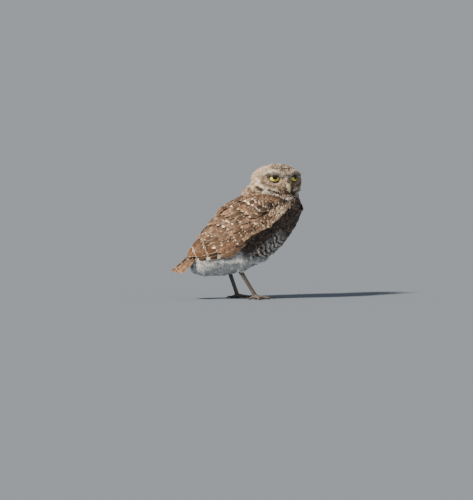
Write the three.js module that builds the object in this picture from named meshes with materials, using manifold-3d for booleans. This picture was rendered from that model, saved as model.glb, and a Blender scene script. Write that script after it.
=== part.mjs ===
// A burrowing owl at life size, standing at ease with its head turned over its right shoulder.
// Millimetres. +X is the way the body heads, +Y its left side, +Z up. The soles stand on Z = 0.
import * as THREE from "three";
import { mergeVertices } from "three/addons/utils/BufferGeometryUtils.js";
import Module from "manifold-3d";

const wasm = await Module();
wasm.setup();

// Clearance that two touching pieces keep between their faces.
const GAP = 0.3;

// Blocks that cut away one side of a level are larger than the whole bird.
const BLOCK_SIZE = 600;

// How finely the round limbs are faceted: sides round them, and stations along them.
const THIGH_FACETS = [11, 6];
const TARSUS_FACETS = [9, 5];
const TOE_FACETS = [6, 5];
const CLAW_FACETS = [5, 5];
const BILL_FACETS = [10, 7];
const CREASE_FACETS = [6, 4];
const LIMB_END_BULGE = 0.45;

// The bird is drawn about a plumb line through its middle and then moved by this much,
// so that the origin lies under the middle of the whole bird.
const FORWARD_SHIFT = 19.4;

const UPWARDS = new THREE.Vector3(0, 0, 1);
const SIDEWAYS = new THREE.Vector3(0, 1, 0);

// Carriage of the body. Its long axis starts over the breast and falls towards the tail.
const BODY_TILT = THREE.MathUtils.degToRad(39.3);
const BODY_START = new THREE.Vector3(35, 0, 140);

// Torso: place along the axis, height of the back, height of the belly, half width.
const TORSO_ROWS = [
  [-32, -6, -16, 5],
  [-25, 7, -34, 18.5],
  [-14, 15.5, -42.5, 27],
  [0, 24, -49, 34.5],
  [20, 31.5, -55, 39],
  [40, 35, -59, 40.5],
  [60, 35, -58.5, 39.5],
  [80, 32.5, -55.5, 37],
  [100, 28.5, -48.5, 32.5],
  [120, 23, -40, 27.5],
  [136, 17, -28, 21.5],
  [148, 11, -18.5, 13.5],
  [155, 3, -8, 5],
];
const TORSO_SIDES = 20;
const TORSO_STATIONS = 15;
const TORSO_END_BULGE = 1.5;

// Neck: a soft collar between the head and the body.
const NECK_CENTRE = new THREE.Vector3(26, 0, 145);
const NECK_HALF_SIZE = [36, 28, 22];
const NECK_DETAIL = 3;

// Head. It looks to the right of the body, and its own axes are forward, left and up.
const HEAD_CENTRE = new THREE.Vector3(40.3, 0, 163);
const HEAD_YAW = THREE.MathUtils.degToRad(-72);
const FACE_DEPTH = 24;
const NAPE_DEPTH = 42;
const HEAD_HALF_WIDTH = 36;
const HEAD_HALF_HEIGHT = 26.5;
const HEAD_SQUARENESS = 2.15;
const HEAD_DETAIL = 8;

// Neighbours are cut by a coarser copy of the head, which clears it by a little more.
const HEAD_ROOM_DETAIL = 5;
const HEAD_ROOM_CLEARANCE = 0.6;

// Forms of the face: where they stand, how far they rise and how wide they spread in degrees.
const FACE_FORMS = [
  { name: "muzzle", at: [24, 0, -5], rise: 3.2, spread: 15 },
  { name: "inner brow", at: [22, 7, 9], rise: 2.2, spread: 9, paired: true },
  { name: "middle brow", at: [19, 15, 13], rise: 2.8, spread: 9, paired: true },
  { name: "outer brow", at: [13, 24, 14], rise: 1.8, spread: 10, paired: true },
  { name: "eye dish", at: [20, 18, 4], rise: -2.2, spread: 17, paired: true },
  { name: "cheek", at: [18, 17, -13], rise: 1.4, spread: 14, paired: true },
  { name: "upper rim of the disc", at: [5, 32, 9], rise: 1.2, spread: 10, paired: true },
  { name: "lower rim of the disc", at: [6, 29, -10], rise: 1.6, spread: 11, paired: true },
];

// Eyes: a ball in a socket, behind lids whose opening is flat above and round below.
const EYE_RADIUS = 9.2;
const EYE_CENTRE = [10.9, 14.4, 6];
const EYE_SPLAY = THREE.MathUtils.degToRad(20);
const EYE_DETAIL = 3;
const LID_THICKNESS = 0.8;
const LID_HALF_WIDTH = 7.8;
const LID_UPPER = 3.6;
const LID_LOWER = 4.8;
const LID_SIDES = 14;
// The opening flares outwards: how far out each ring of it lies in eye radii, and its widening.
const LID_FLARE = [[0.3, 0.9], [1, 1], [2, 1.35]];

// Bill: the upper half hooks down over the lower one.
const UPPER_BILL = {
  path: [[17, 0, -3], [23, 0, -3.4], [27.4, 0, -5.8], [29.9, 0, -10], [30.6, 0, -14.7]],
  halfWidths: [4.8, 4.7, 4.1, 2.5, 0.35],
  halfHeights: [4.2, 4.2, 3.8, 2.4, 0.35],
};
const LOWER_BILL = {
  path: [[16, 0, -11], [21, 0, -11.6], [25, 0, -12.4], [27.6, 0, -12.4]],
  halfWidths: [4, 3.9, 2.8, 1],
  halfHeights: [2, 1.9, 1.4, 0.7],
};
const NOSTRIL = { at: [26, 3.9, -3.4], halfSize: [0.9, 0.7, 0.6] };
const GAPE = {
  path: [[22, 4, -11.5], [21, 8, -11.8], [18.6, 12, -11], [15.6, 15.4, -9.4]],
  depths: [2.6, 3.2, 3.2, 1.9],
  flatness: 0.16,
  outwards: 2.7,
};

// Folded wing: place along the axis, height of its top, of its widest level and of its lower
// edge, half width, and how far up round the back it reaches in degrees.
const WING_ROWS = [
  [-10, 16, -12, -13, 33.5, 6],
  [-4, 22, -12, -14.5, 37, 26],
  [6, 28, -12.2, -17, 40, 42],
  [20, 34, -12.5, -19, 42.6, 56],
  [36, 37.5, -13, -19.5, 44, 66],
  [52, 38, -12.6, -16.2, 43.8, 73],
  [68, 37.2, -12, -12.4, 42.6, 80],
  [90, 34.5, -11, -13, 39.4, 88],
  [106, 32, -9.5, -12.2, 35, 90],
  [119, 29.6, -6, -7, 30, 90],
  [133, 26.4, 1.5, 1.5, 23.5, 90],
  [143, 22.4, 7, 7, 16, 90],
  [148.5, 18.2, 9.5, 10, 9, 88],
];

// The flesh of the wing and the bases of its feathers lie this deep under the feathers' surface.
const WING_CORE_TOP = 2;
const WING_CORE_BOTTOM = 9;
const WING_CORE_BOTTOM_AT_END = 3.4;
const WING_CORE_END = 128;
const WING_THINS_FROM = 108;
const WING_STATIONS = 10;
const WING_ARC_POINTS = 4;

// Feathers of the folded wing in tiers, from the longest at the bottom to the shortest on top.
// Each place is along the body and then up the wing as a share of its breadth; the first place of
// a pair is the feather nearest the lower edge, and the second the one nearest the back.
const WING_TIERS = [
  {
    name: "primaries", count: 6, halfWidth: 4.8, thickness: 1.2, outline: "long",
    roots: [[90, 0.1], [96, 0.86]], tips: [[128, 0.07], [147, 0.92]], tipCurve: 0.6, lift: [-3, -0.8],
  },
  {
    name: "secondaries", count: 6, halfWidth: 8, thickness: 1.2, outline: "long",
    roots: [[54, 0.08], [60, 0.9]], tips: [[100, 0.06], [127, 0.9]], tipCurve: 0.8, lift: [-3, -0.4],
  },
  {
    name: "greater coverts", count: 6, halfWidth: 6.6, thickness: 1.2, outline: "short",
    roots: [[32, 0.06], [38, 0.6]], tips: [[68, 0.07], [62, 0.66]], tipCurve: 1, lift: [-2.8, -0.1],
  },
  {
    name: "median coverts", count: 5, halfWidth: 7, thickness: 1.2, outline: "short",
    roots: [[14, 0.08], [18, 0.62]], tips: [[44, 0.07], [40, 0.66]], tipCurve: 1, lift: [-2.7, 0],
  },
  {
    name: "lesser coverts", count: 4, halfWidth: 6, thickness: 1.2, outline: "short",
    roots: [[-6, 0.2], [-3, 0.8]], tips: [[22, 0.09], [22, 0.74]], tipCurve: 1, lift: [-2.6, 0.1],
  },
  {
    name: "long scapulars", count: 3, halfWidth: 8.4, thickness: 1.2, outline: "short",
    roots: [[50, 0.7], [50, 0.94]], tips: [[88, 0.68], [92, 0.93]], tipCurve: 1, lift: [-2.6, 0.1],
  },
  {
    name: "middle scapulars", count: 2, halfWidth: 10, thickness: 1.2, outline: "short",
    roots: [[26, 0.76], [26, 0.93]], tips: [[62, 0.74], [66, 0.92]], tipCurve: 1, lift: [-2.6, 0.3],
  },
  {
    name: "short scapulars", count: 2, halfWidth: 8.4, thickness: 1.2, outline: "short",
    roots: [[4, 0.74], [6, 0.92]], tips: [[40, 0.75], [42, 0.92]], tipCurve: 1, lift: [-2.4, 0.4],
  },
];

// Outline of a long and of a short vane: shares of its length, and how wide and how thick it is.
const VANE_OUTLINES = {
  long: [
    { at: 0, width: 0.6, thickness: 1 },
    { at: 0.55, width: 1, thickness: 1 },
    { at: 0.88, width: 0.84, thickness: 0.7 },
    { at: 1, width: 0.3, thickness: 0.45 },
  ],
  short: [
    { at: 0, width: 0.7, thickness: 1 },
    { at: 0.75, width: 1, thickness: 0.85 },
    { at: 1, width: 0.42, thickness: 0.5 },
  ],
};
const VANE_ROLL = 0.4;
const FEATHER_UNEVENNESS = 1.4;
const FEATHER_UNEVENNESS_ACROSS = 0.01;
const WING_SEEDS = { left: 4177, right: 9203 };

// Tail: a folded fan whose two sides slope down from a ridge.
const TAIL_START = 134;
const TAIL_END = 178;
const TAIL_RIDGE_AT_START = 17;
const TAIL_RIDGE_AT_END = 16.5;
const TAIL_HALF_WIDTH_AT_START = 10;
const TAIL_HALF_WIDTH_AT_END = 16.5;
const TAIL_DROP = 8.5;
const TAIL_ROUNDING = 8;
const TAIL_ROOM_THICKNESS = 3.6;

// Tail feathers: six pairs, the middle pair on top and each pair further out under the last.
const TAIL_PAIRS = 6;
const TAIL_FEATHER_HALF_WIDTH = 4.6;
const TAIL_FEATHER_THICKNESS = 0.9;
const TAIL_FEATHER_STEP = 0.42;
const TAIL_FEATHER_ROLL = 0.25;
const TAIL_SIDE_STEP = 0.06;
const TAIL_ROOT_SINK = 0.6;
const TAIL_ROOT_CLOSENESS = 0.7;
const TAIL_TIP_INSET = 2;
const TAIL_ROOT = { at: [140, 13], halfSize: [13, 9, 4] };

// Legs: where each hip, hock and foot stands, and how far each foot turns.
const LEGS = {
  right: { side: -1, hip: [-5, -14, 68], hock: [-20, -20, 41], foot: [2.9, -20], turn: -6 },
  left: { side: 1, hip: [-11, 14, 68], hock: [-26.5, 20, 43], foot: [-13, 20], turn: 10 },
};
const ANKLE_HEIGHT = 4.2;
const TARSUS_RADII = [3.5, 3, 2.8, 2.8, 3.2];
const THIGH_RADII = [9, 11.5, 5.8];
const THIGH_END = 1.02;
const SOLE_INSET = 0.3;

// Toes, counted as in every bird of prey: the hind one, the inner, the middle and the outer.
// heading is in degrees outwards from straight ahead, and arch is the height of the knuckle.
const TOES = [
  { heading: 172, length: 11, radius: 2, arch: 3.6, claw: 8 },
  { heading: -28, length: 17, radius: 2.2, arch: 3.4, claw: 9.5 },
  { heading: 2, length: 20.5, radius: 2.2, arch: 3.6, claw: 9 },
  { heading: 78, length: 16, radius: 2.1, arch: 4, claw: 8 },
];
const TOE_START = 1.5;
const TOE_BULGES = [1.15, 1.05, 0.95, 1.05, 0.8];
const TOE_JOINTS = [0.3, 0.55, 0.8];
const FOOT_PAD = [4.2, 3.8, 3.6];
const FOOT_PAD_HEIGHT = 3.2;
const CLAW_ROOT = 2.4;
const CLAW_RADIUS = 1.35;
const CLAW_TAPER = [1, 0.92, 0.6, 0.16];
const CLAW_TIP_HEIGHT = 0.6;
// The middle of a claw: places along it, and how far each rises over the toe.
const CLAW_BEND = [[0.42, 0.75], [0.78, -0.3]];

// Surface finishes.
function finish(color, roughness) {
  return new THREE.MeshStandardMaterial({ color, roughness, metalness: 0 });
}
const CROWN_FEATHER = finish(0x9a8068, 0.9);
const BODY_FEATHER = finish(0xb9a58f, 0.92);
const WING_FEATHER = finish(0x8f6a4e, 0.88);
const TAIL_FEATHER = finish(0x9c6a45, 0.88);
const LEG_DOWN = finish(0xd9d2c6, 0.95);
const SCALED_SKIN = finish(0x6f645b, 0.7);
const CLAW_HORN = finish(0x2c2622, 0.4);
const BILL_HORN = finish(0xc9bd8f, 0.45);
const EYE_GLOSS = finish(0xe4d640, 0.12);

// Frames of the body and of the head

function bodyPoint(along, up, side) {
  const point = new THREE.Vector3(-along, side, up);
  point.applyAxisAngle(SIDEWAYS, -BODY_TILT);
  return point.add(BODY_START);
}

function headPoint(forward, left, up) {
  const point = new THREE.Vector3(forward, left, up);
  point.applyAxisAngle(UPWARDS, HEAD_YAW);
  return point.add(HEAD_CENTRE);
}

// Small helpers

function spaced(start, end, count) {
  return Array.from({ length: count }, (_, i) => start + ((end - start) * i) / (count - 1));
}

// The same, but closer together towards both ends, for bodies that end in a round.
function roundedOff(start, end, count) {
  return spaced(0, 1, count).map((t) => {
    const share = (t + (1 - Math.cos(Math.PI * t)) / 2) / 2;
    return start + share * (end - start);
  });
}

// Smooth values of a table's columns at one place along its first column.
function rowAt(rows, along) {
  let i = 0;
  while (i < rows.length - 2 && rows[i + 1][0] < along) {
    i += 1;
  }
  const from = rows[i];
  const to = rows[i + 1];
  const before = rows[Math.max(i - 1, 0)];
  const after = rows[Math.min(i + 2, rows.length - 1)];
  const span = to[0] - from[0];
  const t = THREE.MathUtils.clamp((along - from[0]) / span, 0, 1);
  const ease = t * t * (3 - 2 * t);
  return from.slice(1).map((_, k) => {
    const column = k + 1;
    const slopeFrom = ((to[column] - before[column]) / (to[0] - before[0])) * span;
    const slopeTo = ((after[column] - from[column]) / (after[0] - from[0])) * span;
    const middle = (1 - ease) * from[column] + ease * to[column];
    return middle + (t - 1) * (t - 1) * t * slopeFrom + t * t * (t - 1) * slopeTo;
  });
}

// Solids

function solidFrom(corners, triangles) {
  let volume = 0;
  for (const [a, b, c] of triangles) {
    volume += corners[a].dot(new THREE.Vector3().crossVectors(corners[b], corners[c]));
  }
  const facing = volume > 0 ? triangles : triangles.map(([a, b, c]) => [a, c, b]);
  const vertProperties = new Float32Array(corners.flatMap((corner) => corner.toArray()));
  const triVerts = new Uint32Array(facing.flat());
  return new wasm.Manifold(new wasm.Mesh({ numProp: 3, vertProperties, triVerts }));
}

// A closed skin over rings of equally many points, drawn to a point at each end.
function loft(rings, startPole, endPole) {
  const count = rings[0].length;
  const corners = [startPole, ...rings.flat(), endPole];
  const last = corners.length - 1;
  const at = (ring, j) => 1 + ring * count + (j % count);
  const triangles = [];
  for (let j = 0; j < count; j += 1) {
    triangles.push([0, at(0, j + 1), at(0, j)]);
    for (let ring = 0; ring < rings.length - 1; ring += 1) {
      triangles.push([at(ring, j), at(ring, j + 1), at(ring + 1, j)]);
      triangles.push([at(ring, j + 1), at(ring + 1, j + 1), at(ring + 1, j)]);
    }
    triangles.push([last, at(rings.length - 1, j), at(rings.length - 1, j + 1)]);
  }
  return solidFrom(corners, triangles);
}

// A thin closed plate between two like grids of points, split into triangles alike on both faces.
function plate(upper, lower) {
  const rows = upper.length;
  const columns = upper[0].length;
  const corners = [...upper.flat(), ...lower.flat()];
  const top = (row, column) => row * columns + column;
  const under = (row, column) => rows * columns + top(row, column);
  const triangles = [];
  for (let row = 0; row < rows - 1; row += 1) {
    for (let column = 0; column < columns - 1; column += 1) {
      const cell = [[row, column], [row, column + 1], [row + 1, column], [row + 1, column + 1]];
      const [a, b, c, d] = cell.map((place) => top(...place));
      const [e, f, g, h] = cell.map((place) => under(...place));
      triangles.push([a, b, c], [b, d, c], [e, g, f], [f, g, h]);
    }
  }
  const acrossRows = Array.from({ length: rows - 1 }, (_, row) => row);
  const acrossColumns = Array.from({ length: columns - 1 }, (_, column) => column);
  const rim = [
    ...acrossColumns.map((column) => [0, column]),
    ...acrossRows.map((row) => [row, columns - 1]),
    ...acrossColumns.map((column) => [rows - 1, columns - 1 - column]),
    ...acrossRows.map((row) => [rows - 1 - row, 0]),
  ];
  rim.forEach((place, i) => {
    const next = rim[(i + 1) % rim.length];
    triangles.push([top(...place), under(...place), top(...next)]);
    triangles.push([top(...next), under(...place), under(...next)]);
  });
  return solidFrom(corners, triangles);
}

// One vane laid on a surface from its root to its tip, and rolled so that one edge tucks under
// its neighbour. Places on the surface are in millimetres along and across it.
function vane(surface, { root, tip, halfWidth, thickness, outline, lift, roll }) {
  const length = Math.hypot(tip[0] - root[0], tip[1] - root[1]);
  const heading = [(tip[0] - root[0]) / length, (tip[1] - root[1]) / length];
  const gridAt = (side) => {
    return VANE_OUTLINES[outline].map((knot) => {
      return [-1, 1].map((edge) => {
        const across = edge * halfWidth * knot.width;
        const along = knot.at * length;
        const rise = THREE.MathUtils.lerp(lift[0], lift[1], knot.at) + roll * edge * knot.width;
        return surface(
          root[0] + heading[0] * along - heading[1] * across,
          root[1] + heading[1] * along + heading[0] * across,
          rise + (side * thickness * knot.thickness) / 2,
        );
      });
    });
  };
  return plate(gridAt(1), gridAt(-1));
}

// Even but unlike draws between -1 and 1, the same on every run.
function randomDraws(seed) {
  let state = seed;
  return () => {
    state = (state * 16807) % 2147483647;
    return (2 * state) / 2147483647 - 1;
  };
}

// A round solid whose corners are placed by a function of the direction from its middle.
function roundSolid(detail, place) {
  const ball = new THREE.IcosahedronGeometry(1, detail);
  ball.deleteAttribute("normal");
  ball.deleteAttribute("uv");
  const welded = mergeVertices(ball, 1e-5);
  const position = welded.getAttribute("position");
  const corners = Array.from({ length: position.count }, (_, i) => {
    return place(new THREE.Vector3().fromBufferAttribute(position, i).normalize());
  });
  const index = Array.from(welded.getIndex().array);
  const triangles = Array.from({ length: index.length / 3 }, (_, i) => index.slice(3 * i, 3 * i + 3));
  return solidFrom(corners, triangles);
}

function ellipsoid(centre, halfSize, detail, grow = 0) {
  return roundSolid(detail, (direction) => {
    const reach = new THREE.Vector3(...halfSize).addScalar(grow);
    return direction.multiply(reach).add(centre);
  });
}

// A limb with oval sections along a smooth path of points.
function limb(points, halfWidths, halfHeights, [sides, stations], sideways, grow = 0) {
  const curve = new THREE.CatmullRomCurve3(points, false, "centripetal");
  const knots = halfWidths.map((width, i) => [i / (halfWidths.length - 1), width, halfHeights[i]]);
  const ringAt = (t) => {
    const [width, height] = rowAt(knots, t);
    const centre = curve.getPoint(t);
    const tangent = curve.getTangent(t);
    const up = new THREE.Vector3().crossVectors(tangent, sideways).normalize();
    const side = new THREE.Vector3().crossVectors(up, tangent).normalize();
    return Array.from({ length: sides }, (_, j) => {
      const angle = (2 * Math.PI * j) / sides;
      const point = centre.clone();
      point.addScaledVector(side, (width + grow) * Math.cos(angle));
      return point.addScaledVector(up, (height + grow) * Math.sin(angle));
    });
  };
  const pole = (t, radius) => {
    const outward = curve.getTangent(t).multiplyScalar(t === 0 ? -1 : 1);
    return curve.getPoint(t).addScaledVector(outward, LIMB_END_BULGE * radius + grow);
  };
  const rings = spaced(0, 1, stations).map(ringAt);
  return loft(rings, pole(0, halfHeights[0]), pole(1, halfHeights.at(-1)));
}

function join(pieces) {
  return pieces.reduce((whole, piece) => whole.add(piece));
}

function cut(whole, pieces) {
  return pieces.reduce((rest, piece) => rest.subtract(piece), whole);
}

function largest(solid) {
  return solid.decompose().reduce((best, piece) => (piece.volume() > best.volume() ? piece : best));
}

// Everything on one side of a plane, as a large block.
function block(centre) {
  const box = new THREE.BoxGeometry(BLOCK_SIZE, BLOCK_SIZE, BLOCK_SIZE);
  box.translate(...centre);
  box.deleteAttribute("normal");
  box.deleteAttribute("uv");
  const welded = mergeVertices(box, 1e-5);
  const vertProperties = welded.getAttribute("position").array;
  const triVerts = new Uint32Array(welded.getIndex().array);
  return new wasm.Manifold(new wasm.Mesh({ numProp: 3, vertProperties, triVerts }));
}

function mesh(name, solid, material) {
  const { vertProperties, triVerts } = largest(solid).getMesh();
  const geometry = new THREE.BufferGeometry();
  geometry.setAttribute("position", new THREE.BufferAttribute(vertProperties, 3));
  geometry.setIndex(new THREE.BufferAttribute(triVerts, 1));
  geometry.computeVertexNormals();
  const node = new THREE.Mesh(geometry, material);
  node.name = name;
  return node;
}

// Torso and neck

function torso(grow = 0) {
  const first = TORSO_ROWS[0][0];
  const last = TORSO_ROWS.at(-1)[0];
  const stretch = 1 + (2 * grow) / (last - first);
  const middleAlong = (first + last) / 2;
  const ringAt = (along) => {
    const [back, belly, halfWidth] = rowAt(TORSO_ROWS, along);
    const middle = (back + belly) / 2;
    const halfHeight = (back - belly) / 2 + grow;
    const place = middleAlong + (along - middleAlong) * stretch;
    return Array.from({ length: TORSO_SIDES }, (_, j) => {
      const angle = (2 * Math.PI * j) / TORSO_SIDES;
      const up = middle + halfHeight * Math.sin(angle);
      return bodyPoint(place, up, (halfWidth + grow) * Math.cos(angle));
    });
  };
  const poleAt = (along, outward) => {
    const [back, belly] = rowAt(TORSO_ROWS, along);
    return bodyPoint(along + outward * (TORSO_END_BULGE + grow), (back + belly) / 2, 0);
  };
  return loft(roundedOff(first, last, TORSO_STATIONS).map(ringAt), poleAt(first, -1), poleAt(last, 1));
}

function neck(grow = 0) {
  return ellipsoid(NECK_CENTRE, NECK_HALF_SIZE, NECK_DETAIL, grow);
}

// Head

function head(grow = 0, detail = HEAD_DETAIL) {
  const forms = FACE_FORMS.flatMap((form) => {
    const [forward, left, up] = form.at;
    const sides = form.paired ? [1, -1] : [1];
    return sides.map((side) => ({
      ...form,
      direction: new THREE.Vector3(forward, side * left, up).normalize(),
    }));
  });
  return roundSolid(detail, (direction) => {
    const depth = direction.x > 0 ? FACE_DEPTH : NAPE_DEPTH;
    const size = [depth, HEAD_HALF_WIDTH, HEAD_HALF_HEIGHT];
    const share = direction.toArray().map((part, k) => Math.abs(part / size[k]) ** HEAD_SQUARENESS);
    let radius = (share[0] + share[1] + share[2]) ** (-1 / HEAD_SQUARENESS);
    for (const form of forms) {
      const away = THREE.MathUtils.radToDeg(direction.angleTo(form.direction)) / form.spread;
      radius += form.rise * Math.exp(-away * away);
    }
    const { x, y, z } = direction.multiplyScalar(radius + grow);
    return headPoint(x, y, z);
  });
}

// The room that the head and bill take out of their neighbours.
function headRoom() {
  const room = head(GAP + HEAD_ROOM_CLEARANCE, HEAD_ROOM_DETAIL);
  return join([room, bill(UPPER_BILL, GAP), bill(LOWER_BILL, GAP)]);
}

function eyeCentre(side) {
  const [forward, left, up] = EYE_CENTRE;
  return headPoint(forward, side * left, up);
}

function eye(side, grow = 0) {
  const radius = EYE_RADIUS + grow;
  return ellipsoid(eyeCentre(side), [radius, radius, radius], EYE_DETAIL);
}

// The opening between the lids, as a flaring plug along the gaze.
function lidOpening(side) {
  const splay = side * EYE_SPLAY;
  const [forward, left, up] = EYE_CENTRE;
  const ringAt = (reach, widening) => {
    return Array.from({ length: LID_SIDES }, (_, j) => {
      const angle = (2 * Math.PI * j) / LID_SIDES;
      const height = Math.sin(angle) > 0 ? LID_UPPER : LID_LOWER;
      const across = widening * LID_HALF_WIDTH * Math.cos(angle);
      const rise = widening * height * Math.sin(angle);
      return headPoint(
        forward + reach * Math.cos(splay) - across * Math.sin(splay),
        side * left + reach * Math.sin(splay) + across * Math.cos(splay),
        up + rise,
      );
    });
  };
  const rings = LID_FLARE.map(([reach, widening]) => ringAt(reach * EYE_RADIUS, widening));
  return loft(rings, eyeCentre(side), ringAt(LID_FLARE.at(-1)[0] * EYE_RADIUS, 0)[0]);
}

function bill(form, grow = 0) {
  const points = form.path.map((place) => headPoint(...place));
  const sideways = headPoint(0, 1, 0).sub(HEAD_CENTRE);
  return limb(points, form.halfWidths, form.halfHeights, BILL_FACETS, sideways, grow);
}

function nostril(side) {
  const [forward, left, up] = NOSTRIL.at;
  return ellipsoid(headPoint(forward, side * left, up), NOSTRIL.halfSize, 1);
}

// The line of the mouth, a shallow crease from the corner of the bill back under the eye.
function gape(side) {
  const points = GAPE.path.map(([forward, left, up]) => {
    const place = new THREE.Vector3(forward, side * left, up);
    place.setLength(place.length() + GAPE.outwards);
    return headPoint(...place.toArray());
  });
  const heights = GAPE.depths.map((depth) => GAPE.flatness * depth);
  return limb(points, GAPE.depths, heights, CREASE_FACETS, headPoint(1, side, 0).sub(HEAD_CENTRE));
}

// Wings

function wingSection(along) {
  const [top, middle, lowerEdge, halfWidth, reach] = rowAt(WING_ROWS, along);
  const halfHeight = top - middle;
  const low = Math.asin(THREE.MathUtils.clamp((lowerEdge - middle) / halfHeight, -1, 1));
  return { middle, halfHeight, halfWidth, low, high: THREE.MathUtils.degToRad(reach) };
}

// A point on the folded wing: along the body, up round it by share, and out from its surface.
function wingPoint(side, along, share, out) {
  const { middle, halfHeight, halfWidth, low, high } = wingSection(along);
  const angle = low + share * (high - low);
  const up = middle + (halfHeight + out) * Math.sin(angle);
  return bodyPoint(along, up, side * (halfWidth + out) * Math.cos(angle));
}

function wingBreadth(along) {
  const { halfHeight, halfWidth, low, high } = wingSection(along);
  return ((halfHeight + halfWidth) / 2) * (high - low);
}

function wingCore(side) {
  const first = WING_ROWS[0][0];
  const shares = spaced(0, 1, WING_ARC_POINTS);
  const ringAt = (along) => {
    const thinning = THREE.MathUtils.smoothstep(along, WING_THINS_FROM, WING_CORE_END);
    const depth = THREE.MathUtils.lerp(WING_CORE_BOTTOM, WING_CORE_BOTTOM_AT_END, thinning);
    const outer = shares.map((share) => wingPoint(side, along, share, -WING_CORE_TOP));
    const inner = shares.map((share) => wingPoint(side, along, share, -depth));
    return [...outer, ...inner.reverse()];
  };
  const rings = roundedOff(first, WING_CORE_END, WING_STATIONS).map(ringAt);
  const front = wingPoint(side, first - 1, 0.5, -WING_CORE_BOTTOM / 2);
  const back = wingPoint(side, WING_CORE_END + 1, 0.5, -WING_CORE_TOP - 0.5);
  return loft(rings, front, back);
}

function tier(side, form, draw) {
  const surface = (along, rise, out) => wingPoint(side, along, rise / wingBreadth(along), out);
  const place = ([from, to], v) => {
    const along = THREE.MathUtils.lerp(from[0], to[0], v) + FEATHER_UNEVENNESS * draw();
    const share = THREE.MathUtils.lerp(from[1], to[1], v) + FEATHER_UNEVENNESS_ACROSS * draw();
    return [along, share * wingBreadth(along)];
  };
  return spaced(0, 1, form.count).map((v) => {
    return vane(surface, {
      ...form,
      root: place(form.roots, v),
      tip: place(form.tips, v ** form.tipCurve),
      roll: -VANE_ROLL,
    });
  });
}

function wing(side) {
  const draw = randomDraws(side > 0 ? WING_SEEDS.left : WING_SEEDS.right);
  const feathers = WING_TIERS.flatMap((form) => tier(side, form, draw));
  const otherSide = block([0, side * (GAP - BLOCK_SIZE) / 2, 0]);
  const room = [torso(GAP), neck(GAP), headRoom(), tailRoom(), otherSide];
  return cut(join([wingCore(side), ...feathers]), room);
}

// Tail

function tailPoint(along, across, out) {
  const t = (along - TAIL_START) / (TAIL_END - TAIL_START);
  const ridge = THREE.MathUtils.lerp(TAIL_RIDGE_AT_START, TAIL_RIDGE_AT_END, t);
  const slope = Math.abs(across) / TAIL_HALF_WIDTH_AT_END;
  return bodyPoint(along, ridge - TAIL_DROP * slope ** 1.4 + out, across);
}

// The fleshy end of the body that the tail feathers grow from.
function tailRoot(grow = 0) {
  const [along, up] = TAIL_ROOT.at;
  const [length, width, height] = TAIL_ROOT.halfSize.map((size) => size + grow);
  return roundSolid(1, ({ x, y, z }) => bodyPoint(along + length * x, up + height * z, width * y));
}

// The room that the tail takes out of the wings folded over it.
function tailRoom() {
  const half = TAIL_ROOM_THICKNESS / 2 + GAP;
  const ringAt = (along) => {
    const t = THREE.MathUtils.smoothstep(along, TAIL_START, TAIL_END);
    const width = THREE.MathUtils.lerp(TAIL_HALF_WIDTH_AT_START, TAIL_HALF_WIDTH_AT_END, t) + GAP;
    const shares = spaced(-1, 1, 7);
    const upper = shares.map((share) => tailPoint(along, share * width, half));
    const lower = shares.map((share) => tailPoint(along, share * width, -half));
    return [...upper, ...lower.reverse()];
  };
  const rings = spaced(TAIL_START, TAIL_END, 6).map(ringAt);
  const fan = loft(rings, tailPoint(TAIL_START - 2, 0, 0), tailPoint(TAIL_END + 2, 0, 0));
  return fan.add(tailRoot(GAP));
}

function tail() {
  const pairs = spaced(0, TAIL_PAIRS - 1, TAIL_PAIRS).flatMap((pair) => [[pair, -1], [pair, 1]]);
  const feathers = pairs.map(([pair, side]) => {
    const share = (pair + 0.4) / TAIL_PAIRS;
    const lift = (TAIL_PAIRS / 4 - pair) * TAIL_FEATHER_STEP + TAIL_SIDE_STEP * side;
    return vane(tailPoint, {
      root: [TAIL_START, side * share * TAIL_HALF_WIDTH_AT_START * TAIL_ROOT_CLOSENESS],
      tip: [
        TAIL_END - TAIL_ROUNDING * share * share,
        side * share * (TAIL_HALF_WIDTH_AT_END - TAIL_TIP_INSET),
      ],
      halfWidth: TAIL_FEATHER_HALF_WIDTH,
      thickness: TAIL_FEATHER_THICKNESS,
      outline: "long",
      lift: [lift - TAIL_ROOT_SINK, lift],
      roll: -side * TAIL_FEATHER_ROLL,
    });
  });
  return join([tailRoot(), ...feathers]);
}

// Legs

function thigh({ hip, hock }, grow = 0) {
  const start = new THREE.Vector3(...hip);
  const end = start.clone().lerp(new THREE.Vector3(...hock), THIGH_END);
  const points = [start, start.clone().lerp(end, 0.5), end];
  return limb(points, THIGH_RADII, THIGH_RADII, THIGH_FACETS, SIDEWAYS, grow);
}

function ankle({ foot }) {
  return new THREE.Vector3(...foot, ANKLE_HEIGHT);
}

function tarsus(leg, grow = 0) {
  const start = new THREE.Vector3(...leg.hock);
  const end = ankle(leg);
  const points = TARSUS_RADII.map((_, i) => start.clone().lerp(end, i / (TARSUS_RADII.length - 1)));
  return limb(points, TARSUS_RADII, TARSUS_RADII, TARSUS_FACETS, SIDEWAYS, grow);
}

// A place on a toe: how far out along it, and how high.
function toePoint(leg, toe, reach, height) {
  const heading = leg.side * toe.heading + leg.turn;
  const turned = new THREE.Vector3(reach, 0, height);
  turned.applyAxisAngle(UPWARDS, THREE.MathUtils.degToRad(heading));
  return turned.add(new THREE.Vector3(...leg.foot, 0));
}

function toeSideways(leg, toe) {
  return toePoint(leg, { heading: toe.heading + 90 * leg.side }, 1, 0).sub(toePoint(leg, toe, 0, 0));
}

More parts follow.
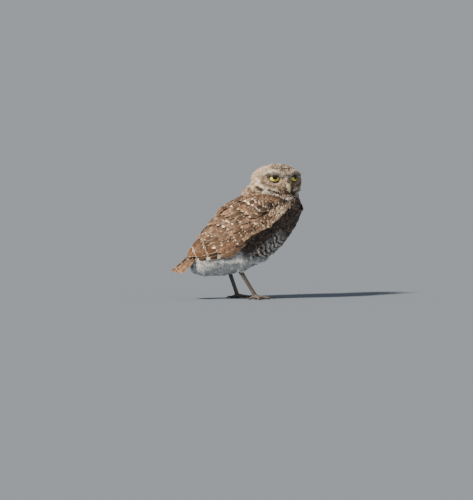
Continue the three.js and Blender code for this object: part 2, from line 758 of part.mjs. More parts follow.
function toe(leg, form) {
  const { length, radius, arch } = form;
  const low = radius - SOLE_INSET;
  const points = [
    toePoint(leg, form, TOE_START, ANKLE_HEIGHT),
    toePoint(leg, form, TOE_JOINTS[0] * length, arch),
    toePoint(leg, form, TOE_JOINTS[1] * length, (arch + low) / 2),
    toePoint(leg, form, TOE_JOINTS[2] * length, low),
    toePoint(leg, form, length, low),
  ];
  const radii = TOE_BULGES.map((share) => share * radius);
  return limb(points, radii, radii, TOE_FACETS, toeSideways(leg, form));
}

function foot(leg) {
  const pad = ellipsoid(new THREE.Vector3(...leg.foot, FOOT_PAD_HEIGHT), FOOT_PAD, 1);
  const toes = TOES.map((form) => toe(leg, form));
  const claws = TOES.map((form) => claw(leg, form, GAP));
  const underfloor = block([0, 0, -BLOCK_SIZE / 2]);
  return cut(join([pad, ...toes]), [underfloor, tarsus(leg, GAP), ...claws]);
}

function claw(leg, form, grow = 0) {
  const start = form.length - CLAW_ROOT;
  const points = [
    toePoint(leg, form, start, form.radius),
    ...CLAW_BEND.map(([share, rise]) => {
      return toePoint(leg, form, start + share * form.claw, form.radius + rise);
    }),
    toePoint(leg, form, start + form.claw, CLAW_TIP_HEIGHT),
  ];
  const radii = CLAW_TAPER.map((share) => share * CLAW_RADIUS);
  return limb(points, radii, radii, CLAW_FACETS, toeSideways(leg, form), grow);
}

// Nodes

function headNodes() {
  const sides = [-1, 1];
  const lids = sides.map((side) => eye(side, GAP + LID_THICKNESS));
  const upper = cut(bill(UPPER_BILL), sides.map(nostril));
  const lower = cut(bill(LOWER_BILL), [bill(UPPER_BILL, GAP)]);
  const skull = cut(join([head(), ...lids]), [
    ...sides.map((side) => eye(side, GAP)),
    ...sides.map(lidOpening),
    ...sides.map(gape),
    bill(UPPER_BILL, GAP),
    bill(LOWER_BILL, GAP),
  ]);
  return [
    mesh("head", skull, CROWN_FEATHER),
    mesh("eye_right", eye(-1), EYE_GLOSS),
    mesh("eye_left", eye(1), EYE_GLOSS),
    mesh("bill_upper", upper, BILL_HORN),
    mesh("bill_lower", lower, BILL_HORN),
  ];
}

function bodyNodes() {
  const limbs = Object.values(LEGS).flatMap((leg) => [thigh(leg, GAP), tarsus(leg, GAP)]);
  return [
    mesh("neck", cut(neck(), [headRoom()]), CROWN_FEATHER),
    mesh("torso", cut(torso(), [neck(GAP), headRoom(), ...limbs]), BODY_FEATHER),
    mesh("wing_right", wing(-1), WING_FEATHER),
    mesh("wing_left", wing(1), WING_FEATHER),
    mesh("tail", cut(tail(), [torso(GAP)]), TAIL_FEATHER),
  ];
}

function legNodes(name, leg) {
  const claws = TOES.map((form, i) => mesh(`claw_${name}_${i + 1}`, claw(leg, form), CLAW_HORN));
  return [
    mesh(`thigh_${name}`, cut(thigh(leg), [tarsus(leg, GAP)]), LEG_DOWN),
    mesh(`tarsus_${name}`, tarsus(leg), SCALED_SKIN),
    mesh(`foot_${name}`, foot(leg), SCALED_SKIN),
    ...claws,
  ];
}

const owl = new THREE.Group();
owl.position.x = FORWARD_SHIFT;
owl.add(...headNodes(), ...bodyNodes());
for (const [name, leg] of Object.entries(LEGS)) {
  owl.add(...legNodes(name, leg));
}

const group = new THREE.Group();
group.add(owl);
export default group;
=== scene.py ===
# %% [markdown]
# # A burrowing owl at life size
# This lesson dresses the solids of a small owl as the live bird: a skin, a coat of separate
# feathers, folded wings and a tail of long vanes, glossy eyes, and a bill and claws of horn.
# The solids come first and stay where they are. Everything made here is placed from them.

# %% Load the solids
import math

import bmesh
import bpy
import numpy as np
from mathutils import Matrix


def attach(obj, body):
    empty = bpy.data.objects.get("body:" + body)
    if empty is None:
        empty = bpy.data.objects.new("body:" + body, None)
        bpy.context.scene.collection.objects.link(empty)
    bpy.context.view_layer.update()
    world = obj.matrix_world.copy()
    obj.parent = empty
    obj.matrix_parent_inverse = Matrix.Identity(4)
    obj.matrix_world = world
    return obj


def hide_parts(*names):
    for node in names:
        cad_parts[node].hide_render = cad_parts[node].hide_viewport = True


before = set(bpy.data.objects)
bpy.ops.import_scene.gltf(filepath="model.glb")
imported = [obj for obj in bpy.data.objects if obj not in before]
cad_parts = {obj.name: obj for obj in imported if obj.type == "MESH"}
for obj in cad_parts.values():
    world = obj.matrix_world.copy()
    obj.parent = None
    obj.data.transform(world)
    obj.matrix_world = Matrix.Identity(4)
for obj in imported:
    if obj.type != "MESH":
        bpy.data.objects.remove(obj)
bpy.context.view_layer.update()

# %% [markdown]
# ## Camera, floor and light
# The photograph was taken from far away through a long lens, almost level with the bird, so the
# camera stands six metres off and its lens covers 0.7 m from top to bottom there. The bird fills
# only a quarter of that height. One soft lamp from the upper left stands in for the low sun, so
# the flank is bright and the breast lies in shade, and the pale surroundings fill the shade.

# %% Camera
CAMERA_DISTANCE = 6.0
CAMERA_AZIMUTH = math.radians(-15)
CAMERA_ELEVATION = math.radians(2.5)
VIEW_HEIGHT = 0.70
VIEW_CENTRE = np.array([-0.0002, 0.0, 0.0686])
SENSOR = 36.0


def camera_direction(azimuth, elevation):
    level = math.cos(elevation)
    return np.array([level * math.sin(azimuth), -level * math.cos(azimuth), math.sin(elevation)])


def aim(thing, target):
    ahead = np.array(target) - np.array(thing.location)
    pitch = math.atan2(math.hypot(ahead[0], ahead[1]), -ahead[2])
    thing.rotation_euler = (pitch, 0, math.atan2(-ahead[0], ahead[1]))


scene = bpy.context.scene
camera = bpy.data.objects.new("camera", bpy.data.cameras.new("camera"))
scene.collection.objects.link(camera)
camera.location = VIEW_CENTRE + CAMERA_DISTANCE * camera_direction(CAMERA_AZIMUTH, CAMERA_ELEVATION)
camera.data.sensor_width = SENSOR
camera.data.lens = SENSOR * CAMERA_DISTANCE / VIEW_HEIGHT
camera.data.clip_end = 100
aim(camera, VIEW_CENTRE)
scene.camera = camera
print("lens", round(camera.data.lens, 1), "mm")

# %% Floor and lamps
FLOOR_SIZE = 400.0
SKY_COLOUR = (0.88, 0.94, 1.0)
SKY_STRENGTH = 0.40
SUN = {"azimuth": -64, "elevation": 40, "strength": 7.2, "softness": 7, "colour": (1.0, 0.90, 0.76)}


def floor_colour():
    """The colour that makes the lit floor look just like the surroundings behind it."""
    level = SUN["strength"] * math.sin(math.radians(SUN["elevation"])) / math.pi
    sky = [SKY_STRENGTH * value for value in SKY_COLOUR]
    return [part / (part + level * warm) for part, warm in zip(sky, SUN["colour"])] + [1]


def make_floor():
    mesh = bpy.data.meshes.new("floor")
    half = FLOOR_SIZE / 2
    corners = [(-half, -half, 0), (half, -half, 0), (half, half, 0), (-half, half, 0)]
    mesh.from_pydata(corners, [], [(0, 1, 2, 3)])
    floor = bpy.data.objects.new("floor", mesh)
    scene.collection.objects.link(floor)
    paint = bpy.data.materials.new("pale floor")
    paint.use_nodes = True
    shader = paint.node_tree.nodes["Principled BSDF"]
    shader.inputs["Base Color"].default_value = floor_colour()
    shader.inputs["Roughness"].default_value = 1.0
    shader.inputs["Specular IOR Level"].default_value = 0.0
    mesh.materials.append(paint)


def make_sun():
    sun = bpy.data.objects.new("low sun", bpy.data.lights.new("low sun", "SUN"))
    scene.collection.objects.link(sun)
    sun.location = 3.0 * camera_direction(math.radians(SUN["azimuth"]), math.radians(SUN["elevation"]))
    aim(sun, (0, 0, 0))
    sun.data.energy = SUN["strength"]
    sun.data.angle = math.radians(SUN["softness"])
    sun.data.color = SUN["colour"]


make_floor()
make_sun()
world = bpy.data.worlds.new("pale surroundings")
world.use_nodes = True
world.node_tree.nodes["Background"].inputs["Color"].default_value = SKY_COLOUR + (1,)
world.node_tree.nodes["Background"].inputs["Strength"].default_value = SKY_STRENGTH
scene.world = world

# %% [markdown]
# ## The bird's own directions
# A feather is easiest to place in the bird's own terms: so far along the body from the breast to
# the tail, so far up towards the back, so far out to the side. The head has its own frame, because
# it is turned over the right shoulder. Both frames are the ones that the solids were drawn in, in
# millimetres, and a place is turned into metres only when a mesh is written.

# %% Frames of the body and the head
MM = 0.001
FORWARD_SHIFT = 19.4
BODY_TILT = math.radians(39.3)
BODY_START = np.array([35 + FORWARD_SHIFT, 0, 140.0])
TAILWARD = np.array([-math.cos(BODY_TILT), 0, -math.sin(BODY_TILT)])
BACKWARD = np.array([-math.sin(BODY_TILT), 0, math.cos(BODY_TILT)])
LEFTWARD = np.array([0, 1.0, 0])
HEAD_CENTRE = np.array([40.3 + FORWARD_SHIFT, 0, 163.0])
HEAD_YAW = math.radians(-72)
FACING = np.array([math.cos(HEAD_YAW), math.sin(HEAD_YAW), 0])
FACE_LEFT = np.array([-math.sin(HEAD_YAW), math.cos(HEAD_YAW), 0])
UP = np.array([0, 0, 1.0])


def body_point(along, up, side):
    along, up, side = np.broadcast_arrays(along, up, side)
    return (BODY_START + along[..., None] * TAILWARD + up[..., None] * BACKWARD
            + side[..., None] * LEFTWARD)


def body_place(points):
    away = points - BODY_START
    return away @ TAILWARD, away @ BACKWARD, away @ LEFTWARD


def head_point(places):
    places = np.asarray(places, float)
    return HEAD_CENTRE + places @ np.array([FACING, FACE_LEFT, UP])


def head_place(points):
    return (points - HEAD_CENTRE) @ np.array([FACING, FACE_LEFT, UP]).T


def unit(vectors):
    return vectors / np.maximum(np.linalg.norm(vectors, axis=-1, keepdims=True), 1e-9)


def smooth(low, high, value):
    t = np.clip((np.asarray(value, float) - low) / (high - low), 0, 1)
    return t * t * (3 - 2 * t)


def mix(first, second, share):
    return first + (second - first) * share


def mix_rows(first, second, share):
    """The same for colours or points, with one share for each row."""
    return first + (np.asarray(second, float) - first) * share[:, None]


print("bill points along", np.round(FACING, 3), "and the tail along", np.round(TAILWARD, 3))

# %% [markdown]
# The folded wing is a curved shell round the side of the body. Its table gives, at places along
# the body, the height of its top, of its widest level and of its lower edge, its half width and how
# far round the back it reaches. The tail is a fan whose two halves slope down from a ridge. Feathers
# are laid on both by a place along, a place across and a height out of the surface.

# %% Surfaces of the wing and the tail
WING_ROWS = np.array([
    [-10, 16, -12, -13, 33.5, 6],
    [-4, 22, -12, -14.5, 37, 26],
    [6, 28, -12.2, -17, 40, 42],
    [20, 34, -12.5, -19, 42.6, 56],
    [36, 37.5, -13, -19.5, 44, 66],
    [52, 38, -12.6, -16.2, 43.8, 73],
    [68, 37.2, -12, -12.4, 42.6, 80],
    [90, 34.5, -11, -13, 39.4, 88],
    [106, 32, -9.5, -12.2, 35, 90],
    [119, 29.6, -6, -7, 30, 90],
    [133, 26.4, 1.5, 1.5, 23.5, 90],
    [143, 22.4, 7, 7, 16, 90],
    [148.5, 18.2, 9.5, 10, 9, 88],
])
TAIL_START = 134
TAIL_END = 178
TAIL_RIDGE = (17, 16.5)
TAIL_HALF_WIDTH = (10, 16.5)
TAIL_DROP = 8.5
RUMP_DEPTH = [(90, 1.3), (105, 1.9), (118, 3.4)]
RUMP_OVER_TAIL = 1.2
RUMP_SLOPE = 0.02


def row_at(rows, along):
    """Smooth values of a table's columns at places along its first column."""
    along = np.clip(np.asarray(along, float), rows[0, 0], rows[-1, 0])
    i = np.clip(np.searchsorted(rows[:, 0], along, side="left") - 1, 0, len(rows) - 2)
    before, after = np.maximum(i - 1, 0), np.minimum(i + 2, len(rows) - 1)
    span = rows[i + 1, 0] - rows[i, 0]
    t = ((along - rows[i, 0]) / span)[..., None]
    start, end = rows[i, 1:], rows[i + 1, 1:]
    slope_start = (end - rows[before, 1:]) * (span / (rows[i + 1, 0] - rows[before, 0]))[..., None]
    slope_end = (rows[after, 1:] - start) * (span / (rows[after, 0] - rows[i, 0]))[..., None]
    ease = t * t * (3 - 2 * t)
    curve = (1 - ease) * start + ease * end
    curve = curve + (t - 1) ** 2 * t * slope_start + t * t * (t - 1) * slope_end
    return np.moveaxis(curve, -1, 0)


def wing_section(along):
    top, middle, lower_edge, half_width, reach = row_at(WING_ROWS, along)
    half_height = top - middle
    low = np.arcsin(np.clip((lower_edge - middle) / half_height, -1, 1))
    return middle, half_height, half_width, low, np.radians(reach)


def wing_breadth(along):
    _, half_height, half_width, low, high = wing_section(along)
    return (half_height + half_width) / 2 * (high - low)


def wing_point(side, along, share, out):
    middle, half_height, half_width, low, high = wing_section(along)
    angle = low + share * (high - low)
    up = middle + (half_height + out) * np.sin(angle)
    return body_point(along, up, side * (half_width + out) * np.cos(angle))


def wing_surface(side):
    def surface(along, rise, out):
        return wing_point(side, along, rise / wing_breadth(along), out)
    return surface


def tail_surface(along, across, out):
    t = (along - TAIL_START) / (TAIL_END - TAIL_START)
    ridge = mix(*TAIL_RIDGE, t)
    slope = np.abs(across) / TAIL_HALF_WIDTH[1]
    return body_point(along, ridge - TAIL_DROP * slope ** 1.4 + out, across)


def rump_surface(along, across, out):
    """The rump between the wing tips, which comes down on the roots of the tail."""
    depth = np.interp(along, *zip(*RUMP_DEPTH))
    ridge = np.maximum(row_at(WING_ROWS, along)[0] - depth, TAIL_RIDGE[0] + RUMP_OVER_TAIL)
    return body_point(along, ridge - RUMP_SLOPE * across * across + out, across)


print("wing is", round(float(wing_breadth(np.array(52.0))), 1), "mm round at its widest")

# %% [markdown]
# ## Writing meshes and materials quickly
# A coat has tens of thousands of feathers, so a feather is never made by hand. All feathers of a
# kind share one small grid of points, numpy places all the copies at once, and one call writes
# them as a mesh. What differs from feather to feather, such as its colours, travels with the mesh
# as named attributes, which the materials read.

# %% Helpers that write a mesh
def mesh_object(name, points, quads, attributes=None, material=None):
    """Points are in millimetres. Attributes are arrays with one row for each point."""
    mesh = bpy.data.meshes.new(name)
    mesh.vertices.add(len(points))
    mesh.vertices.foreach_set("co", (points * MM).astype(np.float32).ravel())
    mesh.loops.add(quads.size)
    mesh.loops.foreach_set("vertex_index", quads.astype(np.int32).ravel())
    mesh.polygons.add(len(quads))
    mesh.polygons.foreach_set("loop_start", np.arange(0, quads.size, quads.shape[1], dtype=np.int32))
    mesh.update(calc_edges=True)
    mesh.polygons.foreach_set("use_smooth", np.ones(len(quads), bool))
    for key, values in (attributes or {}).items():
        if key == "OFBake":
            layer = mesh.uv_layers.new(name=key)
            layer.uv.foreach_set("vector", values[quads.ravel()].astype(np.float32).ravel())
            continue
        kind = "FLOAT_COLOR" if values.shape[1] == 4 else "FLOAT_VECTOR"
        slot = "color" if kind == "FLOAT_COLOR" else "vector"
        layer = mesh.attributes.new(key, kind, "POINT")
        layer.data.foreach_set(slot, values.astype(np.float32).ravel())
    if material:
        mesh.materials.append(material)
    thing = bpy.data.objects.new(name, mesh)
    scene.collection.objects.link(thing)
    return thing


def set_points(thing, points):
    """New places, in millimetres, for the points of a mesh."""
    thing.data.vertices.foreach_set("co", (points * MM).astype(np.float32).ravel())
    thing.data.update()


def dress(thing, material):
    """Smooth shading and one material for a whole mesh."""
    mesh = thing.data
    mesh.polygons.foreach_set("use_smooth", np.ones(len(mesh.polygons), bool))
    mesh.materials.clear()
    mesh.materials.append(material)


def finished(thing, slot, *nodes):
    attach(thing, "root")
    if nodes:
        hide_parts(*nodes)
    triangles = sum(len(face.vertices) - 2 for face in thing.data.polygons)
    print(f"{thing.name}: {triangles} triangles")
    return thing


# %% Helpers that build a material's nodes
def add_node(tree, kind, *values, **settings):
    """Adds a node. A value is a number, a tuple or the output of another node, in socket order."""
    node = tree.nodes.new(kind)
    for key, value in settings.items():
        setattr(node, key, value)
    for i, value in enumerate(values):
        plug(tree, node.inputs[i], value)
    return node


def plug(tree, socket, value):
    if isinstance(value, bpy.types.NodeSocket):
        tree.links.new(value, socket)
    else:
        socket.default_value = value


def calculate(tree, operation, *values):
    return add_node(tree, "ShaderNodeMath", *values, operation=operation).outputs[0]


def ramp(tree, value, low, high):
    """A smooth step from 0 at low to 1 at high."""
    node = add_node(tree, "ShaderNodeMapRange", value, low, high, 0.0, 1.0,
                    interpolation_type="SMOOTHSTEP")
    return node.outputs[0]


def blend_colours(tree, share, first, second):
    node = tree.nodes.new("ShaderNodeMix")
    node.data_type = "RGBA"
    plug(tree, node.inputs[0], share)
    plug(tree, node.inputs[6], first)
    plug(tree, node.inputs[7], second)
    return node.outputs[2]


def new_group(name, inputs, outputs):
    """A shader node group. Inputs and outputs are pairs of a name and a kind of socket."""
    tree = bpy.data.node_groups.new(name, "ShaderNodeTree")
    for label, kind in inputs:
        tree.interface.new_socket(label, in_out="INPUT", socket_type=f"NodeSocket{kind}")
    for label, kind in outputs:
        tree.interface.new_socket(label, in_out="OUTPUT", socket_type=f"NodeSocket{kind}")
    return tree, tree.nodes.new("NodeGroupInput"), tree.nodes.new("NodeGroupOutput")


def new_material(name, **settings):
    """A material, its tree and its shader. Settings are the shader's own sockets."""
    material = bpy.data.materials.new(name)
    material.use_nodes = True
    tree = material.node_tree
    shader = tree.nodes["Principled BSDF"]
    for label, value in settings.items():
        shader.inputs[label.replace("_", " ")].default_value = value
    return material, tree, shader


def attribute(tree, name, output="Vector"):
    return add_node(tree, "ShaderNodeAttribute", attribute_name=name).outputs[output]


def place_on_object(tree):
    return tree.nodes.new("ShaderNodeTexCoord").outputs["Object"]


def noise(tree, place, scale, detail=2.0):
    node = add_node(tree, "ShaderNodeTexNoise", place)
    node.inputs["Scale"].default_value = scale
    node.inputs["Detail"].default_value = detail
    return node.outputs["Fac"]


def bump(tree, height, strength, distance):
    node = add_node(tree, "ShaderNodeBump")
    node.inputs["Strength"].default_value = strength
    node.inputs["Distance"].default_value = distance
    tree.links.new(height, node.inputs["Height"])
    return node.outputs[0]


def scaled(tree, vector, factor):
    node = add_node(tree, "ShaderNodeVectorMath", vector, operation="SCALE")
    plug(tree, node.inputs["Scale"], factor)
    return node.outputs[0]


def mottled_material(name, grain, dark, pale, relief, depth, roughness):
    """A plain finish of two colours, whose fine grain also stands in low relief."""
    material, tree, shader = new_material(name, Roughness=roughness)
    fine = noise(tree, place_on_object(tree), grain, 3.0)
    plug(tree, shader.inputs["Base Color"], blend_colours(tree, fine, dark, pale))
    plug(tree, shader.inputs["Normal"], bump(tree, fine, relief, depth))
    return material


# %% [markdown]
# ## The marks on a feather
# Each kind of feather has its own figure: rows of pale spots, bars, or a pale fringe, on a brown
# ground. One node group draws all three inside the outline of a single feather, from attributes:
# where the point lies in its feather, as shares and in millimetres, how large the spots, how wide
# the bars and how strong the fringe are, where they stand, and the two colours. Barbs run
# obliquely out of the shaft, and a slow noise makes some spots large and drops others.

# %% The group that draws a feather's marks
BARB_SPACING = 0.42
SPOT_STEP = 5.0
WOBBLE_SCALE = 800.0
PATCH_SCALE = 170.0
SPECKLE_SCALE = 420.0
LEAST_SPOT = 0.15
LEAST_BAR = 0.01


def feather_figure():
    tree, given, out = new_group(
        "feather figure",
        [("In Feather", "Vector"), ("Reach", "Vector"), ("Figure", "Vector"), ("Placing", "Vector"),
         ("Ground", "Color"), ("Mark", "Color"), ("Place", "Vector")],
        [("Colour", "Color"), ("Barbs", "Float"), ("Roughness", "Float")],
    )

    def parts(label):
        return add_node(tree, "ShaderNodeSeparateXYZ", given.outputs[label]).outputs

    def of(operation, *values):
        return calculate(tree, operation, *values)

    u, v, barb = parts("In Feather")
    x, from_tip, own_number = parts("Reach")
    spots, bars, fringe = parts("Figure")
    phase, spot_row, spot_x = parts("Placing")
    place = given.outputs["Place"]
    across = of("ABSOLUTE", u)
    wobble = of("SUBTRACT", noise(tree, place, WOBBLE_SCALE), 0.5)
    patchy = noise(tree, place, PATCH_SCALE, 1.0)

    row = of("PINGPONG", of("SUBTRACT", from_tip, spot_row), SPOT_STEP)
    away = of("SUBTRACT", of("ABSOLUTE", x), spot_x)
    reach = of("SQRT", of("ADD", of("MULTIPLY", away, away), of("MULTIPLY", row, row)))
    size = of("MULTIPLY", spots, of("MULTIPLY_ADD", patchy, 1.2, 0.4))
    inside = of("SUBTRACT", size, of("MULTIPLY_ADD", wobble, 0.8, reach))
    spot = of("MULTIPLY", ramp(tree, inside, -0.3, 0.45), of("GREATER_THAN", spots, LEAST_SPOT))

    bent = of("MULTIPLY_ADD", wobble, 0.1, of("MULTIPLY_ADD", across, -0.12, phase))
    saw = of("ABSOLUTE", of("SUBTRACT", of("FRACT", bent), 0.5))
    bar = ramp(tree, of("SUBTRACT", bars, saw), -0.02, 0.05)
    bar = of("MULTIPLY", bar, of("GREATER_THAN", bars, LEAST_BAR))

    edge = of("MAXIMUM", ramp(tree, across, 0.66, 0.98), ramp(tree, from_tip, 1.3, 0.3))
    edge = of("MULTIPLY", edge, of("MULTIPLY", fringe, of("MULTIPLY_ADD", patchy, 1.6, 0.2)))
    marked = of("MAXIMUM", of("MAXIMUM", spot, bar), edge)
    colour = blend_colours(tree, marked, given.outputs["Ground"], given.outputs["Mark"])

    barbs = of("SINE", of("MULTIPLY", barb, 2 * math.pi / BARB_SPACING))
    streak = add_node(tree, "ShaderNodeCombineXYZ", of("MULTIPLY", barb, 2.2),
                      of("MULTIPLY", u, 0.4), own_number).outputs[0]
    streaks = noise(tree, streak, 1.0, 1.0)
    speckle = ramp(tree, noise(tree, place, SPECKLE_SCALE, 2.0), 0.38, 0.62)
    # Painted shade: each feather darkens towards its root, where the feather above overlaps it, and pales
    # towards its tip.
    painted_root_shade = ramp(tree, v, 0.35, 0.95)
    shaft = ramp(tree, across, 0.07, 0.03)
    shade = of("MULTIPLY_ADD", streaks, 1.0, 0.5)
    for value, strength, least in [(patchy, 1.5, 0.25), (speckle, 0.35, 0.82),
                                   (painted_root_shade, 0.6, 0.6), (shaft, -0.3, 1.0)]:
        shade = of("MULTIPLY", shade, of("MULTIPLY_ADD", value, strength, least))
    plug(tree, out.inputs["Colour"], scaled(tree, colour, shade))
    plug(tree, out.inputs["Barbs"], of("MULTIPLY_ADD", barbs, 0.25, streaks))
    plug(tree, out.inputs["Roughness"], of("MULTIPLY_ADD", streaks, 0.15, 0.6))
    return tree


FEATHER_FIGURE = feather_figure()
BARB_RELIEF = 0.35


def feather_material(name, sheen, barb_height):
    material, tree, shader = new_material(name, Sheen_Weight=sheen, Sheen_Roughness=0.5,
                                          Specular_IOR_Level=0.15)
    group = add_node(tree, "ShaderNodeGroup", node_tree=FEATHER_FIGURE)
    values = [attribute(tree, key) for key in ("in_feather", "reach", "figure", "placing")]
    values += [attribute(tree, "ground", "Color"), attribute(tree, "mark", "Color"),
               place_on_object(tree)]
    for socket, value in zip(group.inputs, values):
        plug(tree, socket, value)
    plug(tree, shader.inputs["Base Color"], group.outputs["Colour"])
    plug(tree, shader.inputs["Roughness"], group.outputs["Roughness"])
    plug(tree, shader.inputs["Normal"], bump(tree, group.outputs["Barbs"], BARB_RELIEF, barb_height))
    return material


SOFT_FEATHER = feather_material("soft feather", sheen=0.05, barb_height=0.0001)
FIRM_VANE = feather_material("firm vane", sheen=0.02, barb_height=0.00014)
DOWN = feather_material("down", sheen=0.15, barb_height=0.00005)
print("feather materials:", SOFT_FEATHER.name, FIRM_VANE.name, DOWN.name, sep=" / ")

# %% [markdown]
# ## Where each colour grows
# The markings follow the bird's anatomy, so they are written as rules, not painted: a brown crown with
# pale flecks, whitish brows that meet over the bill, a brown crescent on the cheek, a white chin, a
# spotted back, a barred breast and a white belly. A few rules here and on the wing also paint the low
# sun's light and shade into the colours: a darker breast, a pale nape, a paler bend of the wing, a dark
# front of the shoulder and dark shadow lines under the ruff. One function answers for any place on the
# bird, and the skin and every small feather ask it, so they always agree.

# %% Colours of the plumage
CROWN_BROWN = (0.105, 0.070, 0.050)
BACK_BROWN = (0.138, 0.078, 0.046)
DARK_BROWN = (0.085, 0.062, 0.052)
# Painted shade: a near-black brown for the front of the shoulder that the neck shades, and for the shadow
# lines under the ruff.
PAINTED_SHADE_BROWN = (0.045, 0.031, 0.024)
COVERT_BROWN = (0.165, 0.096, 0.060)
BAR_BROWN = (0.105, 0.056, 0.032)
CHEEK_BROWN = (0.17, 0.098, 0.058)
RUFOUS = (0.125, 0.058, 0.028)
TAN_BROWN = (0.18, 0.110, 0.068)
TAN = (0.27, 0.175, 0.110)
FACE_TAN = (0.44, 0.305, 0.21)
BUFF = (0.45, 0.335, 0.23)
PALE_BUFF = (0.84, 0.71, 0.56)
CREAM = (0.66, 0.56, 0.44)
CHIN_WHITE = (0.62, 0.58, 0.53)
BROW_GREY = (0.64, 0.56, 0.48)
FLANK_WHITE = (0.60, 0.58, 0.55)
EDGE_WHITE = (0.72, 0.68, 0.62)
WHITE = (0.89, 0.885, 0.875)

# Paths over the face in the head's frame, for the left side. The right side mirrors them.
BROW_PATH = [[13, 27, 11.5], [14.5, 22, 14], [18, 15, 14.5], [22, 9, 9.5], [23, 3, 6], [23, 0, 5]]
PALE_CHEEK_PATH = [[4, 35, 4], [9.5, 33, -4.5], [15.2, 26.4, -7], [19.2, 19, -8], [21, 13, -9]]
CRESCENT_PATH = [[11, 30, 1], [13.6, 28.7, -0.7], [16.6, 24, -3.2], [19.8, 16.8, -4]]
EYE_BACK_PATH = [[11, 28.5, 8], [7, 31, 8.5]]
LORES_PATH = [[21.4, 12, -4.5], [22.5, 8, -7.5]]
RUFF_SHADOW_PATHS = [[[4.6, 36.2, -5.2], [12.8, 32.4, -9.4]],
              [[16.8, 24.9, -9], [20.3, 18.1, -11], [23, 8.1, -15]]]
CHIN_PATH = [[14, 31, -12], [19.4, 23.2, -12.8], [23.3, 13.3, -17], [26.5, 2.7, -21.7], [26.5, 0, -22]]
COLLAR_PATH = [[14, 33, -16], [19.4, 24.2, -18], [23.3, 14, -22], [25, 0, -26]]
EYE_PLACE = np.array([10.9, 14.4, 6.0])
BILL_BASE = np.array([20.0, 0.0, -4.0])


def mirror_signs(places):
    """Factors that fold places on the right half of the face over to the left half."""
    return np.where(places[:, 1:2] < 0, [1, -1, 1], [1, 1, 1])


def near_path(places, path, spread):
    """1 on the path, falling off over so many degrees as seen from the head's middle."""
    path = np.array(path, float)
    steps = np.linspace(0, len(path) - 1, 5 * len(path))
    knots = np.stack([np.interp(steps, np.arange(len(path)), column) for column in path.T], 1)
    nearness = (unit(places * mirror_signs(places)) @ unit(knots).T).max(1)
    away = np.degrees(np.arccos(np.clip(nearness, -1, 1))) / spread
    return np.exp(-away * away)


def head_share(points):
    """1 on the head and 0 on the body, with a soft change at the neck."""
    forward, left, up = head_place(points).T
    size = np.where(forward > 0, 27.0, 42.0)
    radius = np.sqrt((forward / size) ** 2 + (left / 36) ** 2 + (up / 27) ** 2)
    return smooth(1.25, 1.1, radius)


print("colours are ready:", CROWN_BROWN, "to", WHITE)


# %% Rules for the body
def colour_rows(colour, count):
    return np.tile(np.array(colour, float), (count, 1))


def body_plumage(points):
    """Ground and mark colours and figures of small feathers rooted on neck, body and thighs."""
    along, up, side = body_place(points)
    ground, mark = colour_rows(BACK_BROWN, len(points)), colour_rows(BUFF, len(points))
    figure = np.tile([0.9, 0.0, 0.0], (len(points), 1))

    # Painted shade: the breast faces away from the low sun, so it gets a darker brown than the back and
    # dimmer spots.
    breast = smooth(-8, -16, up) + smooth(8, -6, along) * smooth(14, 0, up)
    breast = np.clip(breast, 0, 1) * smooth(96, 84, along)
    ground = mix_rows(ground, DARK_BROWN, breast)
    mark = mix_rows(mark, TAN, breast)

    behind = smooth(79, 91, along)
    barred = smooth(-31, -39, up) * smooth(14, 34, along) * (1 - behind)
    ground = mix_rows(ground, FLANK_WHITE, barred)
    mark = mix_rows(mark, BAR_BROWN, smooth(0.4, 0.6, barred))
    figure[:, 0] *= 1 - smooth(0.3, 0.6, barred)
    figure[:, 1] = 0.29 * smooth(0.4, 0.6, barred)

    below_wing = smooth(0, -8, up - 0.35 * np.maximum(along - 84, 0))
    plain = np.clip(behind * below_wing + smooth(66, 58, points[:, 2]), 0, 1)
    ground = mix_rows(ground, WHITE, plain)
    figure *= 1 - smooth(0.3, 0.6, plain)[:, None]
    figure[:, 2] += 0.25 * (1 - breast) * (1 - plain)

    # Paler around the bend of the wing: partly its buff-fringed feathers, partly painted sunlight where
    # the bend catches the low sun.
    shoulder = smooth(31, 34, np.abs(side)) * smooth(-18, -14, up) * smooth(34, 20, along)
    shoulder *= smooth(-12, -7, along)
    ground = mix_rows(ground, TAN, 0.55 * shoulder)
    mark = mix_rows(mark, BUFF, shoulder)
    figure[:, 0] *= 1 - 0.35 * shoulder
    figure[:, 2] += 0.5 * shoulder * smooth(-8, -14, up)
    return ground, mark, figure


print("ground on the middle of the back:", body_plumage(body_point(50.0, 20.0, 0.0)[None])[0].round(3))

# %% [markdown]
# The head's colours lie in layers from the crown's brown to the dark lines under the ruff, which are
# painted shadow of the facial disc's rim. Its rules then take over from the body's at the neck, with the
# dark collar, the white chin and the pale nape between them. The nape's paleness is painted sunlight.

# %% Rules for the head
FACE_LAYERS = [
    (PALE_BUFF, PALE_CHEEK_PATH, 6.5, 1.0), (CHEEK_BROWN, CRESCENT_PATH, 4.2, 1.0),
    (CHEEK_BROWN, EYE_BACK_PATH, 7, 0.7), (BROW_GREY, BROW_PATH, 6, 1.0),
    (CHEEK_BROWN, LORES_PATH, 6, 0.9),
]


def face_colours(places):
    """The head's ground, the painted shadow lines under its ruff, and where it is calm, without flecks."""
    forward, left, high = places.T
    tanned = 0.75 * np.maximum(smooth(15, 5, high), smooth(10, 23, np.abs(left)))
    face = mix_rows(colour_rows(CROWN_BROWN, len(places)), FACE_TAN, tanned)
    disc = smooth(-2, 8, forward) * smooth(17, 9, high)
    face = mix_rows(face, FACE_TAN, disc)
    for colour, path, spread, strength in FACE_LAYERS:
        face = mix_rows(face, colour, strength * near_path(places, path, spread))
    # Painted shadow: dark lines under the rim of the facial disc, where the rim would shade the throat.
    ruff_shadow = np.max([np.minimum(1.4 * near_path(places, path, 2.5), 1) for path in RUFF_SHADOW_PATHS], axis=0)
    calm = np.clip(disc + near_path(places, BROW_PATH, 6), 0, 1)
    return mix_rows(face, PAINTED_SHADE_BROWN, ruff_shadow), ruff_shadow, calm


